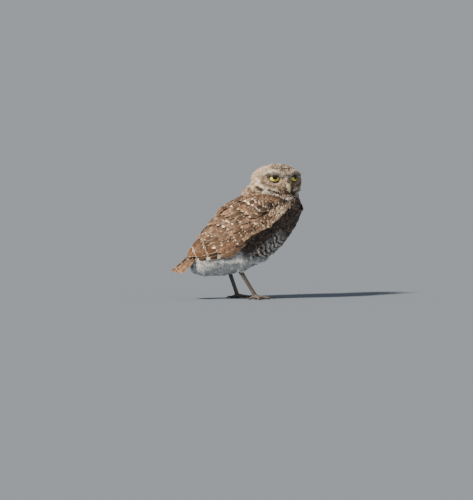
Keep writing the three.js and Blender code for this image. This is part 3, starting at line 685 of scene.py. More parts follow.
def plumage(points):
    """Ground and mark colours and figures of small feathers rooted at points.

    A figure is the radius of its spots in millimetres, the width of its bars as a share of
    their step, and the strength of its fringe."""
    places = head_place(points)
    forward = places[:, 0]
    head, away = head_share(points), np.linalg.norm(places, axis=1)
    face, ruff_shadow, calm = face_colours(places)
    ground, mark, figure = body_plumage(points)

    ground = mix_rows(ground, face, head)
    near_head = smooth(40, 36, away) * smooth(-2, 6, forward)
    ground = mix_rows(ground, DARK_BROWN, 0.8 * near_head * near_path(places, COLLAR_PATH, 5))
    ground = mix_rows(ground, CHIN_WHITE, near_head * near_path(places, CHIN_PATH, 1.6))
    mark = mix_rows(mark, CREAM, head)
    figure[:, 0] = mix(figure[:, 0], 0.66 * (1 - calm) * (1 - ruff_shadow), head)
    figure[:, 1] *= 1 - head
    figure[:, 2] = mix(figure[:, 2], 0.35 * (1 - ruff_shadow), head)

    # Painted sunlight: the nape, which faces the low sun, is made paler tan.
    nape = smooth(55, 48, away) * (1 - head) * smooth(3, -4, forward)
    return mix_rows(ground, FACE_TAN, 0.7 * nape), mix_rows(mark, CREAM, nape), figure


print("ground on the crown:", plumage(HEAD_CENTRE[None] + [[0, 0, 26]])[0].round(3))

# %% [markdown]
# ## The skin
# One closed skin runs over the head, neck, body and thighs, so no seam shows between them. It
# could be sculpted, but the solids already have the right form. Copies of them are swollen a
# little, joined, turned into one surface by a voxel remesh and smoothed, and the result is shrunk
# by the depth of the coat that will lie on it. A shell under each wing and a bulb under the tail
# are joined in first, so that the long feathers have flesh to grow from.

# %% Copies of the flesh, swollen and joined
SWELL = 0.4
VOXEL = 1.5
WING_FLESH = {"along": (-8, 128), "rings": 30, "shares": 12, "depth": 9.0, "thinner": 5}
TAIL_BULB = {"place": (140, 13), "half_size": (13, 9, 4)}


def mesh_arrays(thing):
    """A mesh's points in millimetres and its triangles."""
    mesh = thing.data
    mesh.calc_loop_triangles()
    points = np.empty(len(mesh.vertices) * 3, np.float32)
    mesh.vertices.foreach_get("co", points)
    triangles = np.empty(len(mesh.loop_triangles) * 3, np.int32)
    mesh.loop_triangles.foreach_get("vertices", triangles)
    return points.reshape(-1, 3).astype(float) / MM, triangles.reshape(-1, 3)


def point_normals(points, triangles):
    a, b, c = points[triangles[:, 0]], points[triangles[:, 1]], points[triangles[:, 2]]
    faces = np.cross(b - a, c - a)
    normals = np.zeros_like(points)
    for k in range(3):
        np.add.at(normals, triangles[:, k], faces)
    return unit(normals)


def node_copy(name):
    """The welded points and triangles of one solid."""
    points, triangles = mesh_arrays(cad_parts[name])
    keys, index = np.unique(np.round(points, 3), axis=0, return_inverse=True)
    return keys, index.reshape(-1)[triangles]


def swollen(points, triangles, amount):
    return points + amount * point_normals(points, triangles), triangles


def ring_shell(rings):
    """Points and triangles of a closed skin over rings of equally many points."""
    rings = np.asarray(rings)
    count, around = rings.shape[:2]
    points = np.vstack([rings.reshape(-1, 3), rings[0].mean(0), rings[-1].mean(0)])
    triangles = []
    for row in range(count - 1):
        for j in range(around):
            a, b = row * around + j, row * around + (j + 1) % around
            triangles += [[a, b, a + around], [b, b + around, a + around]]
    for j in range(around):
        last = (count - 1) * around
        triangles += [[count * around, (j + 1) % around, j],
                      [count * around + 1, last + j, last + (j + 1) % around]]
    triangles = np.array(triangles)
    a, b, c = (points[triangles[:, k]] for k in range(3))
    volume = np.einsum("ij,ij->", a, np.cross(b, c))
    return points, triangles if volume > 0 else triangles[:, ::-1]


def wing_flesh(side):
    """A shell under the vanes of a wing, thinner towards the tip."""
    shares = np.linspace(0, 1, WING_FLESH["shares"])
    rings = []
    for along in np.linspace(*WING_FLESH["along"], WING_FLESH["rings"]):
        depth = WING_FLESH["depth"] - WING_FLESH["thinner"] * float(smooth(100, 128, along))
        place = np.full(len(shares), along)
        outer = wing_point(side, place, shares, 0.2)
        inner = wing_point(side, place, shares[::-1], -depth)
        rings.append(np.vstack([outer, inner]))
    return ring_shell(rings)


def tail_bulb():
    along, up = TAIL_BULB["place"]
    length, width, height = TAIL_BULB["half_size"]
    rings = []
    for turn in np.linspace(0.12, math.pi - 0.12, 10):
        around = np.linspace(0, 2 * math.pi, 16, endpoint=False)
        rings.append(body_point(
            along - length * math.cos(turn),
            up + height * math.sin(turn) * np.sin(around),
            width * math.sin(turn) * np.cos(around)))
    return ring_shell(rings)


def joined(parts):
    start, all_points, all_triangles = 0, [], []
    for points, triangles in parts:
        all_points.append(points)
        all_triangles.append(triangles + start)
        start += len(points)
    return np.vstack(all_points), np.vstack(all_triangles)


FLESH_NODES = ["head", "eye_right", "eye_left", "neck", "torso", "thigh_right", "thigh_left"]
flesh = [swollen(*node_copy(name), SWELL) for name in FLESH_NODES]
flesh += [wing_flesh(-1), wing_flesh(1), tail_bulb()]
print("flesh:", sum(len(triangles) for _, triangles in flesh), "triangles in", len(flesh), "parts")


# %% Remesh, smooth and shrink by the coat's depth
def evaluated_copy(thing, name):
    depsgraph = bpy.context.evaluated_depsgraph_get()
    mesh = bpy.data.meshes.new_from_object(thing.evaluated_get(depsgraph))
    mesh.name = name
    result = bpy.data.objects.new(name, mesh)
    scene.collection.objects.link(result)
    return result


def discard(thing):
    mesh = thing.data
    bpy.data.objects.remove(thing)
    bpy.data.meshes.remove(mesh)


def remeshed(name, parts, voxel, smoothing):
    points, triangles = joined(parts)
    rough = mesh_object("rough " + name, points, triangles)
    remesh = rough.modifiers.new("remesh", "REMESH")
    remesh.mode = "VOXEL"
    remesh.voxel_size = voxel * MM
    relax = rough.modifiers.new("relax", "SMOOTH")
    relax.factor = 0.5
    relax.iterations = smoothing
    result = evaluated_copy(rough, name)
    discard(rough)
    keep_largest(result)
    return result


def keep_largest(thing):
    form = bmesh.new()
    form.from_mesh(thing.data)
    unseen, shells = set(form.verts), []
    while unseen:
        stack, shell = [unseen.pop()], []
        while stack:
            vertex = stack.pop()
            shell.append(vertex)
            for edge in vertex.link_edges:
                other = edge.other_vert(vertex)
                if other in unseen:
                    unseen.remove(other)
                    stack.append(other)
        shells.append(shell)
    largest = max(shells, key=len)
    for shell in shells:
        if shell is not largest:
            bmesh.ops.delete(form, geom=shell, context="VERTS")
    form.to_mesh(thing.data)
    form.free()


def coat_depth(points):
    """How deep the skin lies under the ends of the feathers, in millimetres."""
    along, up, _ = body_place(points)
    forward = head_place(points)[:, 0]
    head = head_share(points)
    depth = mix(2.2, 3.0, smooth(-20, -40, up) * smooth(30, 60, along))
    depth = mix(depth, 1.4, smooth(62, 50, points[:, 2]))
    return mix(depth, mix(0.9, 1.0, smooth(6, 18, forward)), head)


skin = remeshed("skin", flesh, VOXEL, smoothing=6)
skin_points, skin_triangles = mesh_arrays(skin)
skin_normals = point_normals(skin_points, skin_triangles)
skin_points = skin_points - skin_normals * (coat_depth(skin_points) + SWELL)[:, None]
print("skin:", len(skin_points), "points")

# %% [markdown]
# The eyeballs sit in sockets. Where the skin would cover the open part of an eye, it is drawn back
# behind the ball, and the lids close the rim later. The drawn-up thighs push the coat out under
# the wings, so the skin is filled out there.

# %% Sockets for the eyes, and the thighs
EYE_RADIUS = 9.2
EYE_SPLAY = math.radians(20)
EYE_SIDES = {"right": -1, "left": 1}
LID_HALF_WIDTH = 7.3
LID_UPPER = 2.2
LID_LOWER = 4.3
LID_SLANT = 0.07
SOCKET_SLOPE = 1.1
SOCKET_DEPTH = 1.2
SOCKET_RIM = 1.9
SOCKET_REACH = 8
THIGH_BULGE = 4.5


def eye_frame(side):
    """The eye's middle, and its directions ahead, across and up."""
    centre = head_point(EYE_PLACE * np.array([1, side, 1]))
    ahead = math.cos(EYE_SPLAY) * FACING + side * math.sin(EYE_SPLAY) * FACE_LEFT
    across = -math.sin(EYE_SPLAY) * FACING + side * math.cos(EYE_SPLAY) * FACE_LEFT
    return centre, ahead, across, UP


def opening_distance(x, y, margin):
    """Below 1 inside the lids' opening, widened by a margin in millimetres."""
    y = y - LID_SLANT * x
    height = np.where(y > 0, LID_UPPER, LID_LOWER) + margin
    return (x / (LID_HALF_WIDTH + margin)) ** 2 + (y / height) ** 2


def draw_back_sockets(points):
    """Opens the skin over each eye and lets it slope down to the lids all round."""
    points = points.copy()
    for side in EYE_SIDES.values():
        centre, ahead, across, up = eye_frame(side)
        away = points - centre
        reach = np.linalg.norm(away, axis=1)
        x, y = away @ across, away @ up
        metric = np.sqrt(np.maximum(opening_distance(x, y, 0.0), 1e-6))
        outside = np.hypot(x, y) * (1 - 1 / metric)
        highest = EYE_RADIUS - SOCKET_DEPTH + SOCKET_SLOPE * np.maximum(outside - SOCKET_RIM, 0)
        near = (away @ ahead > 0) & (reach < EYE_RADIUS + SOCKET_REACH) & (outside < SOCKET_REACH)
        limited = centre + unit(away) * np.minimum(reach, highest)[:, None]
        points = np.where(near[:, None], limited, points)
    return points


def fill_thighs(points, normals):
    """Pushes the skin out over the drawn-up thighs."""
    along, up, side = body_place(points)
    out = np.abs(side) - 25
    reach = np.sqrt(((along - 100) / 15) ** 2 + ((up + 32) / 12) ** 2 + (out / 14) ** 2)
    return points + THIGH_BULGE * np.exp(-reach * reach)[:, None] * normals


skin_points = draw_back_sockets(fill_thighs(skin_points, point_normals(skin_points, skin_triangles)))
set_points(skin, skin_points)
skin_normals = point_normals(skin_points, skin_triangles)
print("sockets drawn back for", len(EYE_SIDES), "eyes")

# %% [markdown]
# The skin is unwrapped once, by its own shape. Every feather later takes a tiny patch of that
# unwrap at its root, so a colour map of the coat agrees with a colour map of the skin.

# %% Unwrap and colour the skin
def unwrap(thing):
    bpy.ops.object.select_all(action="DESELECT")
    bpy.context.view_layer.objects.active = thing
    thing.select_set(True)
    thing.data.uv_layers.new(name="OFBake")
    bpy.ops.object.mode_set(mode="EDIT")
    bpy.ops.mesh.select_all(action="SELECT")
    bpy.ops.uv.smart_project(angle_limit=math.radians(70), island_margin=0.004)
    bpy.ops.object.mode_set(mode="OBJECT")


def colour_attribute(mesh, name, values):
    layer = mesh.attributes.new(name, "FLOAT_COLOR", "POINT")
    rows = np.hstack([values, np.ones((len(values), 1))])
    layer.data.foreach_set("color", rows.astype(np.float32).ravel())


def skin_material():
    material, tree, shader = new_material("feathered skin", Roughness=0.85)
    fine = noise(tree, place_on_object(tree), 700.0, 4.0)
    shade = calculate(tree, "MULTIPLY_ADD", fine, 0.8, 0.3)
    colour = scaled(tree, attribute(tree, "ground", "Color"), shade)
    plug(tree, shader.inputs["Base Color"], colour)
    plug(tree, shader.inputs["Normal"], bump(tree, fine, 0.6, 0.0004))
    return material


def point_places(thing):
    """The unwrap place of each point of a mesh."""
    mesh = thing.data
    corners = np.empty(len(mesh.loops), np.int32)
    mesh.loops.foreach_get("vertex_index", corners)
    places = np.empty(len(mesh.loops) * 2, np.float32)
    mesh.uv_layers["OFBake"].uv.foreach_get("vector", places)
    by_point = np.zeros((len(mesh.vertices), 2))
    by_point[corners] = places.reshape(-1, 2)
    return by_point


unwrap(skin)
skin_places = point_places(skin)
colour_attribute(skin.data, "ground", plumage(skin_points)[0])
dress(skin, skin_material())
finished(skin, "body_feathers", "neck", "torso", "head", "thigh_right", "thigh_left")

# %% [markdown]
# ## Roots spread over the skin
# Feathers grow in an even, slightly irregular quincunx. Geometry Nodes spread the roots: a Poisson
# disk keeps each root a set distance from the next, a fixed seed makes it the same on every run,
# and the skin's normal and its place on the unwrap ride along to every root.

# %% The tree that spreads roots
def roots_tree():
    tree = bpy.data.node_groups.new("spread roots", "GeometryNodeTree")
    for label, kind in [("Skin", "Geometry"), ("Spacing", "Float"), ("Density", "Float"), ("Seed", "Int")]:
        tree.interface.new_socket(label, in_out="INPUT", socket_type=f"NodeSocket{kind}")
    tree.interface.new_socket("Roots", in_out="OUTPUT", socket_type="NodeSocketGeometry")
    given, out = tree.nodes.new("NodeGroupInput"), tree.nodes.new("NodeGroupOutput")
    spread = tree.nodes.new("GeometryNodeDistributePointsOnFaces")
    spread.distribute_method = "POISSON"
    plug(tree, spread.inputs["Mesh"], given.outputs["Skin"])
    plug(tree, spread.inputs["Distance Min"], given.outputs["Spacing"])
    plug(tree, spread.inputs["Density Max"], given.outputs["Density"])
    plug(tree, spread.inputs["Seed"], given.outputs["Seed"])
    keep = tree.nodes.new("GeometryNodeStoreNamedAttribute")
    keep.data_type = "FLOAT_VECTOR"
    keep.inputs["Name"].default_value = "root_normal"
    plug(tree, keep.inputs["Geometry"], spread.outputs["Points"])
    plug(tree, keep.inputs["Value"], spread.outputs["Normal"])
    corners = tree.nodes.new("GeometryNodePointsToVertices")
    plug(tree, corners.inputs["Points"], keep.outputs[0])
    plug(tree, out.inputs[0], corners.outputs[0])
    return tree


ROOTS_TREE = roots_tree()


def set_input(modifier, label, value):
    for item in modifier.node_group.interface.items_tree:
        if item.in_out == "INPUT" and item.name == label:
            modifier[item.identifier] = value


def spread_roots(surface, spacing, seed):
    """Points, normals and unwrap places of roots over a mesh, spacing in millimetres."""
    modifier = surface.modifiers.new("roots", "NODES")
    modifier.node_group = ROOTS_TREE
    set_input(modifier, "Spacing", spacing * MM)
    set_input(modifier, "Density", 4.0 / (spacing * MM) ** 2)
    set_input(modifier, "Seed", seed)
    depsgraph = bpy.context.evaluated_depsgraph_get()
    mesh = surface.evaluated_get(depsgraph).data
    count = len(mesh.vertices)
    points, normals = np.empty(count * 3, np.float32), np.empty(count * 3, np.float32)
    mesh.vertices.foreach_get("co", points)
    mesh.attributes["root_normal"].data.foreach_get("vector", normals)
    places = np.empty(count * 2, np.float32)
    mesh.attributes["OFBake"].data.foreach_get("vector", places)
    surface.modifiers.remove(modifier)
    return points.reshape(-1, 3) / MM, unit(normals.reshape(-1, 3).astype(float)), places.reshape(-1, 2)


def roots_on_path(path, count, spread, seed):
    """Roots along a path over the head, on the left and the right, at the nearest skin points."""
    draw = np.random.default_rng(seed)
    knots = np.array(path, float)
    steps = draw.uniform(0, len(knots) - 1, count)
    places = np.stack([np.interp(steps, np.arange(len(knots)), column) for column in knots.T], 1)
    places = places + spread * draw.standard_normal(places.shape)
    places[:, 1] *= np.where(draw.random(count) < 0.5, -1, 1)
    nearness = unit(head_place(skin_points)) @ unit(places).T
    chosen_points = nearness.argmax(0)
    return skin_points[chosen_points], skin_normals[chosen_points], skin_places[chosen_points]


print("nodes in the tree that spreads roots:", len(ROOTS_TREE.nodes))

# %% [markdown]
# ## The lie of the coat
# Feathers point away from the bill over the head, away from the eyes on the facial disc, down
# the neck and breast, along the body towards the tail, and down the legs. Each rule gives a
# direction, the rules are blended by where a root is, and the sum is laid flat on the skin.

# %% Directions of the feathers
RAYS_START = EYE_PLACE + np.array([4.0, 1.0, 0])
LIE_ON_THIGH = np.array([-0.3, 0, -1.0])


def thigh_share(points):
    return smooth(66, 54, points[:, 2])


def lie_of_coat(points, normals):
    _, _, side = body_place(points)
    places = head_place(points)
    head = head_share(points)[:, None]
    from_bill = unit(places - BILL_BASE)
    from_eye = places * mirror_signs(places) - RAYS_START
    near_eye = np.exp(-(np.linalg.norm(from_eye, axis=1) / 15.0) ** 2)[:, None]
    from_eye = unit(from_eye) * mirror_signs(places)
    on_head = unit(from_bill + 2.5 * near_eye * from_eye)
    on_head = on_head @ np.array([FACING, FACE_LEFT, UP])
    outward = np.stack([0 * side, side / 40, 0 * side], 1)
    on_body = TAILWARD + 0.25 * outward
    thigh = thigh_share(points)[:, None]
    on_body = on_body * (1 - thigh) + LIE_ON_THIGH * thigh
    lie = on_head * head + on_body * (1 - head)
    lie = lie - np.sum(lie * normals, 1)[:, None] * normals
    return unit(lie)


crown_top = HEAD_CENTRE[None] + [[0, 0, 26]]
print("lie on the crown:", lie_of_coat(crown_top, np.array([[0, 0, 1.0]])).round(2))

# %% [markdown]
# ## One feather
# A small body feather is a thin leaf: narrow at its root, widest past the middle, round at the
# tip, arched across, and frayed along its edges. The grid below has a few rows along the feather
# and a few columns across its upper face, and a plain under face closes it.

# %% The grid of a leaf
BAKE_PATCH = 0.003
BODY_BAR_STEP = 6.8
BODY_OUTLINE = [(0, 0.35), (0.25, 0.78), (0.5, 1.0), (0.75, 0.94), (0.9, 0.62), (1, 0.1)]
SLIM_OUTLINE = [(0, 0.5), (0.3, 0.9), (0.6, 1.0), (0.85, 0.6), (1, 0.08)]
LONG_OUTLINE = [(0, 0.55), (0.15, 0.8), (0.4, 0.97), (0.7, 1.0), (0.86, 0.88), (0.95, 0.6), (1, 0.14)]


def leaf_grid(rows, top_columns, under_columns):
    """Places across (-1 to 1) and along (0 to 1), whether a point is on top, and the faces."""
    along = np.linspace(0, 1, rows + 1)
    tops, unders = np.array(top_columns, float), np.array(under_columns, float)
    u = np.concatenate([np.tile(tops, rows + 1), np.tile(unders, rows + 1)])
    v = np.concatenate([np.repeat(along, len(tops)), np.repeat(along, len(unders))])
    top = np.concatenate([np.ones(len(tops) * (rows + 1)), np.zeros(len(unders) * (rows + 1))])

    def strip(start, columns, upwards):
        faces = []
        for row in range(rows):
            for column in range(columns - 1):
                a = start + row * columns + column
                face = [a, a + 1, a + 1 + columns, a + columns]
                faces.append(face if upwards else face[::-1])
        return faces

    faces = strip(0, len(tops), True) + strip(len(tops) * (rows + 1), len(unders), False)
    return {"u": u, "v": v, "top": top, "faces": np.array(faces)}


def outline_width(outline, v):
    knots = np.array(outline)
    return np.interp(v, knots[:, 0], knots[:, 1])


def repeated_faces(grid, count):
    size = len(grid["u"])
    return (grid["faces"][None] + (np.arange(count) * size)[:, None, None]).reshape(-1, 4)


def turned(lies, normals, yaw):
    """Headings turned about the normals by angles, and the directions to their sides."""
    sides = np.cross(lies, normals)
    lies = unit(lies * np.cos(yaw)[:, None] + sides * np.sin(yaw)[:, None])
    return lies, np.cross(lies, normals)


def placed(points, sides, lies, outs, x, y, z):
    """Places of all points of all feathers, from their roots and three directions."""
    return (points[:, None] + x[..., None] * sides[:, None] + y[..., None] * lies[:, None]
            + z[..., None] * outs[:, None])


def feather_attributes(grid, x, y, ground, mark, figure, placing, bake, draw):
    """The attributes of all points of all feathers, from one row for each feather."""
    count, size = x.shape

    def spread(rows):
        return np.repeat(rows, size, axis=0)

    u = np.tile(grid["u"], count)
    v = np.tile(grid["v"], count)
    from_tip = (y.max(1, keepdims=True) - y).ravel()
    own_number = np.repeat(draw.uniform(0, 90, count), size)
    barb = (y - 0.9 * np.abs(x)).ravel()
    opaque = np.ones((count * size, 1))
    patch = np.stack([u / 2, v - 0.5], 1) * BAKE_PATCH
    return {
        "in_feather": np.stack([u, v, barb], 1),
        "reach": np.stack([x.ravel(), from_tip, own_number], 1),
        "ground": np.hstack([spread(ground), opaque]),
        "mark": np.hstack([spread(mark), opaque]),
        "figure": spread(figure),
        "placing": placing,
        "OFBake": np.clip(spread(bake) + patch, 0.001, 0.999),
    }


SMALL_LEAF = leaf_grid(5, [-1, 0, 1], [-1, 1])
BODY_LEAF = leaf_grid(7, [-1, -0.5, 0, 0.5, 1], [-1, 1])
print("faces in a small leaf:", len(SMALL_LEAF["faces"]), "and in a body leaf:", len(BODY_LEAF["faces"]))


# %% Lay small feathers on the skin
def constant(value):
    def everywhere(points):
        return np.full(len(points), float(value))
    return everywhere


def chosen(roots, keep):
    return tuple(part[keep] for part in roots)


def body_feathers(name, roots, form, seed):
    """Small feathers on the skin. roots holds points, normals and unwrap places."""
    points, normals, bake = roots
    count = len(points)
    draw = np.random.default_rng(seed)
    grid = form["grid"]
    yaw = np.radians(form["yaw"]) * draw.standard_normal(count)
    lies, sides = turned(lie_of_coat(points, normals), normals, yaw)

    length = form["length"](points) * (1 + 0.16 * draw.uniform(-1, 1, count))
    width = form["width"](points) * (1 + 0.14 * draw.uniform(-1, 1, count))
    rise = form["rise"](points) * (1 + 0.25 * draw.uniform(-1, 1, count))
    roll = 0.10 * draw.standard_normal(count)
    u, v, top = grid["u"], grid["v"], grid["top"]
    fray = 1 + form["fray"] * draw.uniform(-1, 0.3, (count, len(u))) * (v > 0.3) * (np.abs(u) > 0.9)
    x = u * outline_width(form["outline"], v) * width[:, None] * fray
    y = v * length[:, None] * (1 + 0.04 * draw.standard_normal((count, len(u))) * (v > 0.9))
    cup = form["cup"] * width[:, None] * (1 - u * u) * top
    bend = form["bend"]
    z = -form["sink"](points)[:, None] + rise[:, None] * np.sin(v * math.pi / 2 * 0.85) * 1.12 + cup
    z = z - y * y / (2 * bend) - x * x / (2 * bend) + roll[:, None] * x
    place = placed(points, sides, lies, normals, x, y, z).reshape(-1, 3)

    ground, mark, figure = plumage(points)
    tone = (1 + form["tone"] * draw.standard_normal(count))[:, None]
    ground = np.clip(ground * tone, 0.01, 0.9)
    figure[:, 0] *= np.where(draw.random(count) < form["marked"], 1.0, 0.12)
    figure[:, 1] *= draw.uniform(0.55, 1.15, count)
    along, up, side = body_place(place)
    wave = 1.6 * np.sin(side / 3.3 + np.sin(along / 5)) + 1.2 * np.sin(side / 1.7 + up / 4)
    phase = ((along + wave) / BODY_BAR_STEP).reshape(count, -1) + 0.1 * draw.standard_normal((count, 1))
    spot_row = form["spot_row"] * (1 + 0.2 * draw.standard_normal((count, 1))) + 0 * y
    spot_x = np.where(draw.random((count, 1)) < form["paired"], 0.45 * width[:, None], 0) + 0 * y
    placing = np.stack([phase, spot_row, spot_x], 2).reshape(-1, 3)
    values = feather_attributes(grid, x, y, ground, mark, figure, placing, bake, draw)
    return mesh_object(name, place, repeated_faces(grid, count), values, SOFT_FEATHER)


print("small feathers are ready, with a bar every", BODY_BAR_STEP, "mm")

# %% [markdown]
# ## The coat of the head
# The head's feathers are the smallest. Over the crown and nape they are short round leaves, each
# with a pale fleck. On the face they turn narrow and stand in rays round the eyes. No root is
# spent where the eyes, the bill or the body would cover it.

# %% Which roots belong to the head
def clear_of_eyes(points, margin):
    clear = np.ones(len(points), bool)
    for side in EYE_SIDES.values():
        centre, ahead, across, up = eye_frame(side)
        away = points - centre
        x, y = away @ across, away @ up
        inside = opening_distance(x, y, margin) < 1
        clear &= ~(inside & (away @ ahead > 2))
    return clear


def clear_of_bill(points):
    forward, left, high = head_place(points).T
    return ~((forward > 21) & (np.abs(left) < 3.4) & (high < -1.5) & (high > -12.5))


def on_face(points):
    forward, _, high = head_place(points).T
    return (forward > 3) & (high < 17)


head_roots = spread_roots(skin, spacing=1.1, seed=11)
is_head = head_share(head_roots[0]) > 0.5
is_clear = clear_of_eyes(head_roots[0], 0.4) & clear_of_bill(head_roots[0])
crown_roots = chosen(head_roots, is_head & is_clear & ~on_face(head_roots[0]))
print("crown roots:", len(crown_roots[0]))


def crown_rise(points):
    """Fuller at the nape, where the head runs down into the back."""
    forward, _, high = head_place(points).T
    return 1.0 + 1.8 * smooth(4, -12, high) * smooth(6, -8, forward)


CROWN_FORM = {
    "grid": SMALL_LEAF, "outline": BODY_OUTLINE, "length": constant(5.2), "width": constant(1.35),
    "rise": crown_rise, "sink": constant(0.5), "cup": 0.25, "bend": 26, "yaw": 9, "fray": 0.35,
    "tone": 0.24, "marked": 0.5, "spot_row": 1.5, "paired": 0.0,
}
finished(body_feathers("crown_feathers", crown_roots, CROWN_FORM, 101), "head_feathers")

face_roots = spread_roots(skin, spacing=0.78, seed=13)
keep = (head_share(face_roots[0]) > 0.5) & on_face(face_roots[0])
keep &= clear_of_eyes(face_roots[0], 0.3) & clear_of_bill(face_roots[0])
face_roots = chosen(face_roots, keep)
FACE_FORM = {
    "grid": SMALL_LEAF, "outline": SLIM_OUTLINE, "length": constant(3.6), "width": constant(0.5),
    "rise": constant(0.75), "sink": constant(0.25), "cup": 0.25, "bend": 20, "yaw": 9, "fray": 0.35,
    "tone": 0.2, "marked": 0.5, "spot_row": 1.2, "paired": 0.0,
}
finished(body_feathers("face_feathers", face_roots, FACE_FORM, 103), "head_feathers")

CHIN_FORM = dict(FACE_FORM, length=constant(4.2), width=constant(0.7), rise=constant(1.7),
                 sink=constant(0.2), tone=0.08, marked=0.0, yaw=14)
chin_roots = roots_on_path(CHIN_PATH, count=260, spread=0.32, seed=31)
finished(body_feathers("chin_feathers", chin_roots, CHIN_FORM, 105), "head_feathers")

# %% [markdown]
# Stiff bristles grow forward and down from the lores and hide the base of the bill, and a few
# longer ones stand out over the outer corner of each eye.

# %% Bristles
BRISTLE_GRID = leaf_grid(4, [-1, 1], [-1, 1])


def bristles(name, roots, headings, length, half_width, droop, seed):
    points, normals, bake = roots
    count = len(points)
    draw = np.random.default_rng(seed)
    headings = unit(headings + 0.2 * draw.standard_normal((count, 3)))
    sides = unit(np.cross(headings, normals))
    u, v, top = BRISTLE_GRID["u"], BRISTLE_GRID["v"], BRISTLE_GRID["top"]
    lengths = length * draw.uniform(0.6, 1.15, (count, 1))
    x = u * half_width * (1.05 - v) * np.ones((count, 1))
    y = v * lengths
    z = 0.15 * top * (1 - v) - droop * v * v * lengths
    place = placed(points, sides, headings, np.cross(sides, headings), x, y, z)
    dark = draw.random(count) < 0.6
    ground = np.where(dark[:, None], DARK_BROWN, BUFF)
    blank = np.zeros((count, 3))
    placing = np.zeros((count * len(u), 3))
    values = feather_attributes(BRISTLE_GRID, x, y, ground, ground, blank, placing, bake, draw)
    return mesh_object(name, place.reshape(-1, 3), repeated_faces(BRISTLE_GRID, count), values,
                       SOFT_FEATHER)


def bristle_headings(roots, forward, outward, up):
    """One heading for each root, where outward is away from the middle of the face."""
    side = np.sign(head_place(roots[0])[:, 1])[:, None]
    return forward * FACING + up * UP + outward * side * FACE_LEFT


lores_roots = spread_roots(skin, spacing=0.65, seed=23)
forward, left, high = head_place(lores_roots[0]).T
keep = (forward > 17) & (np.abs(left) < 11) & (high > -15) & (high < 2 - 0.3 * np.abs(left))
keep &= clear_of_eyes(lores_roots[0], 2.0) & ((np.abs(left) > 3.0) | (high > -2) | (high < -12))
lores_roots = chosen(lores_roots, keep)
lores_headings = bristle_headings(lores_roots, forward=0.8, outward=-0.25, up=-0.6)
finished(bristles("lore_bristles", lores_roots, lores_headings, length=5.0, half_width=0.16,
                  droop=0.12, seed=127), "head_feathers")

BILL_RIM_PATH = [[20.5, 8, -1], [21.5, 7, -5], [21.0, 7, -9]]
base_roots = roots_on_path(BILL_RIM_PATH, count=110, spread=1.1, seed=41)
base_headings = bristle_headings(base_roots, forward=0.85, outward=-0.12, up=-0.5)
finished(bristles("bill_bristles", base_roots, base_headings, length=7.0, half_width=0.17,
                  droop=0.16, seed=139), "head_feathers")

BROW_END_PATH = [[12, 27, 10], [15, 24, 13]]
lash_roots = roots_on_path(BROW_END_PATH, count=60, spread=0.8, seed=37)
lash_headings = bristle_headings(lash_roots, forward=0.35, outward=0.9, up=0.25)
finished(bristles("brow_bristles", lash_roots, lash_headings, length=5.0, half_width=0.2,
                  droop=-0.05, seed=131), "head_feathers")

# %% [markdown]
# ## The coat of the neck and body
# Body feathers are larger and overlap like slates, three or four deep. Where the folded wing lies
# over the body no root is spent.

# %% Which roots the wings cover
def under_wing(points, margin_low, margin_high):
    along, up, side = body_place(points)
    middle, half_height, half_width, low, high = wing_section(along)
    angle = np.arctan2((up - middle) / half_height, np.abs(side) / half_width)
    share = (angle - low) / np.maximum(high - low, 0.05)
    covered = (share > margin_low) & (share < 1 - margin_high)
    return covered & (along > -6) & (along < 130)


body_roots = spread_roots(skin, spacing=2.3, seed=17)
keep = (head_share(body_roots[0]) <= 0.5) & ~under_wing(body_roots[0], -0.02, 0.06)
body_roots = chosen(body_roots, keep)
along, up, _ = body_place(body_roots[0])
at_wing_tips = (along > 68) & (up > 12)
is_downy = (along > 92) & (up < -3 + 0.35 * (along - 86)) | (body_roots[0][:, 2] < 60)
slate_roots = chosen(body_roots, ~is_downy & ~at_wing_tips)
print("body roots:", len(slate_roots[0]))


def body_length(points):
    return 8.5 + 4.0 * smooth(0, 60, body_place(points)[0])


def body_width(points):
    """Broader on the barred belly."""
    is_barred = smooth(-28, -36, body_place(points)[1])
    return (0.36 + 0.14 * is_barred) * body_length(points)


def on_mantle(points):
    """1 along the middle of the back, between the wings."""
    _, up, side = body_place(points)
    return smooth(14, 6, np.abs(side)) * smooth(5, 20, up)


def body_rise(points):
    return mix(1.9, 1.4, on_mantle(points))


def body_sink(points):
    """Feathers of the mantle start higher, over the edges of the scapulars, and lie flatter."""
    return mix(0.6, -1.6, on_mantle(points))


BODY_FORM = {
    "grid": BODY_LEAF, "outline": BODY_OUTLINE, "length": body_length, "width": body_width,
    "rise": body_rise, "sink": body_sink, "cup": 0.22, "bend": 42, "yaw": 8, "fray": 0.35,
    "tone": 0.16, "marked": 0.75, "spot_row": 2.6, "paired": 0.35,
}
finished(body_feathers("body_feathers", slate_roots, BODY_FORM, 107), "body_feathers")

# %% [markdown]
# ## Down on the belly and thighs
# Behind the legs and down the thighs the feathers are loose and white, with no firm vane. Each is
# a small sheaf of fine curved strands that part from one root.

# %% Sheaves of down
STRANDS = 12
STRAND_GRID = leaf_grid(3, [-1, 1], [-1, 1])


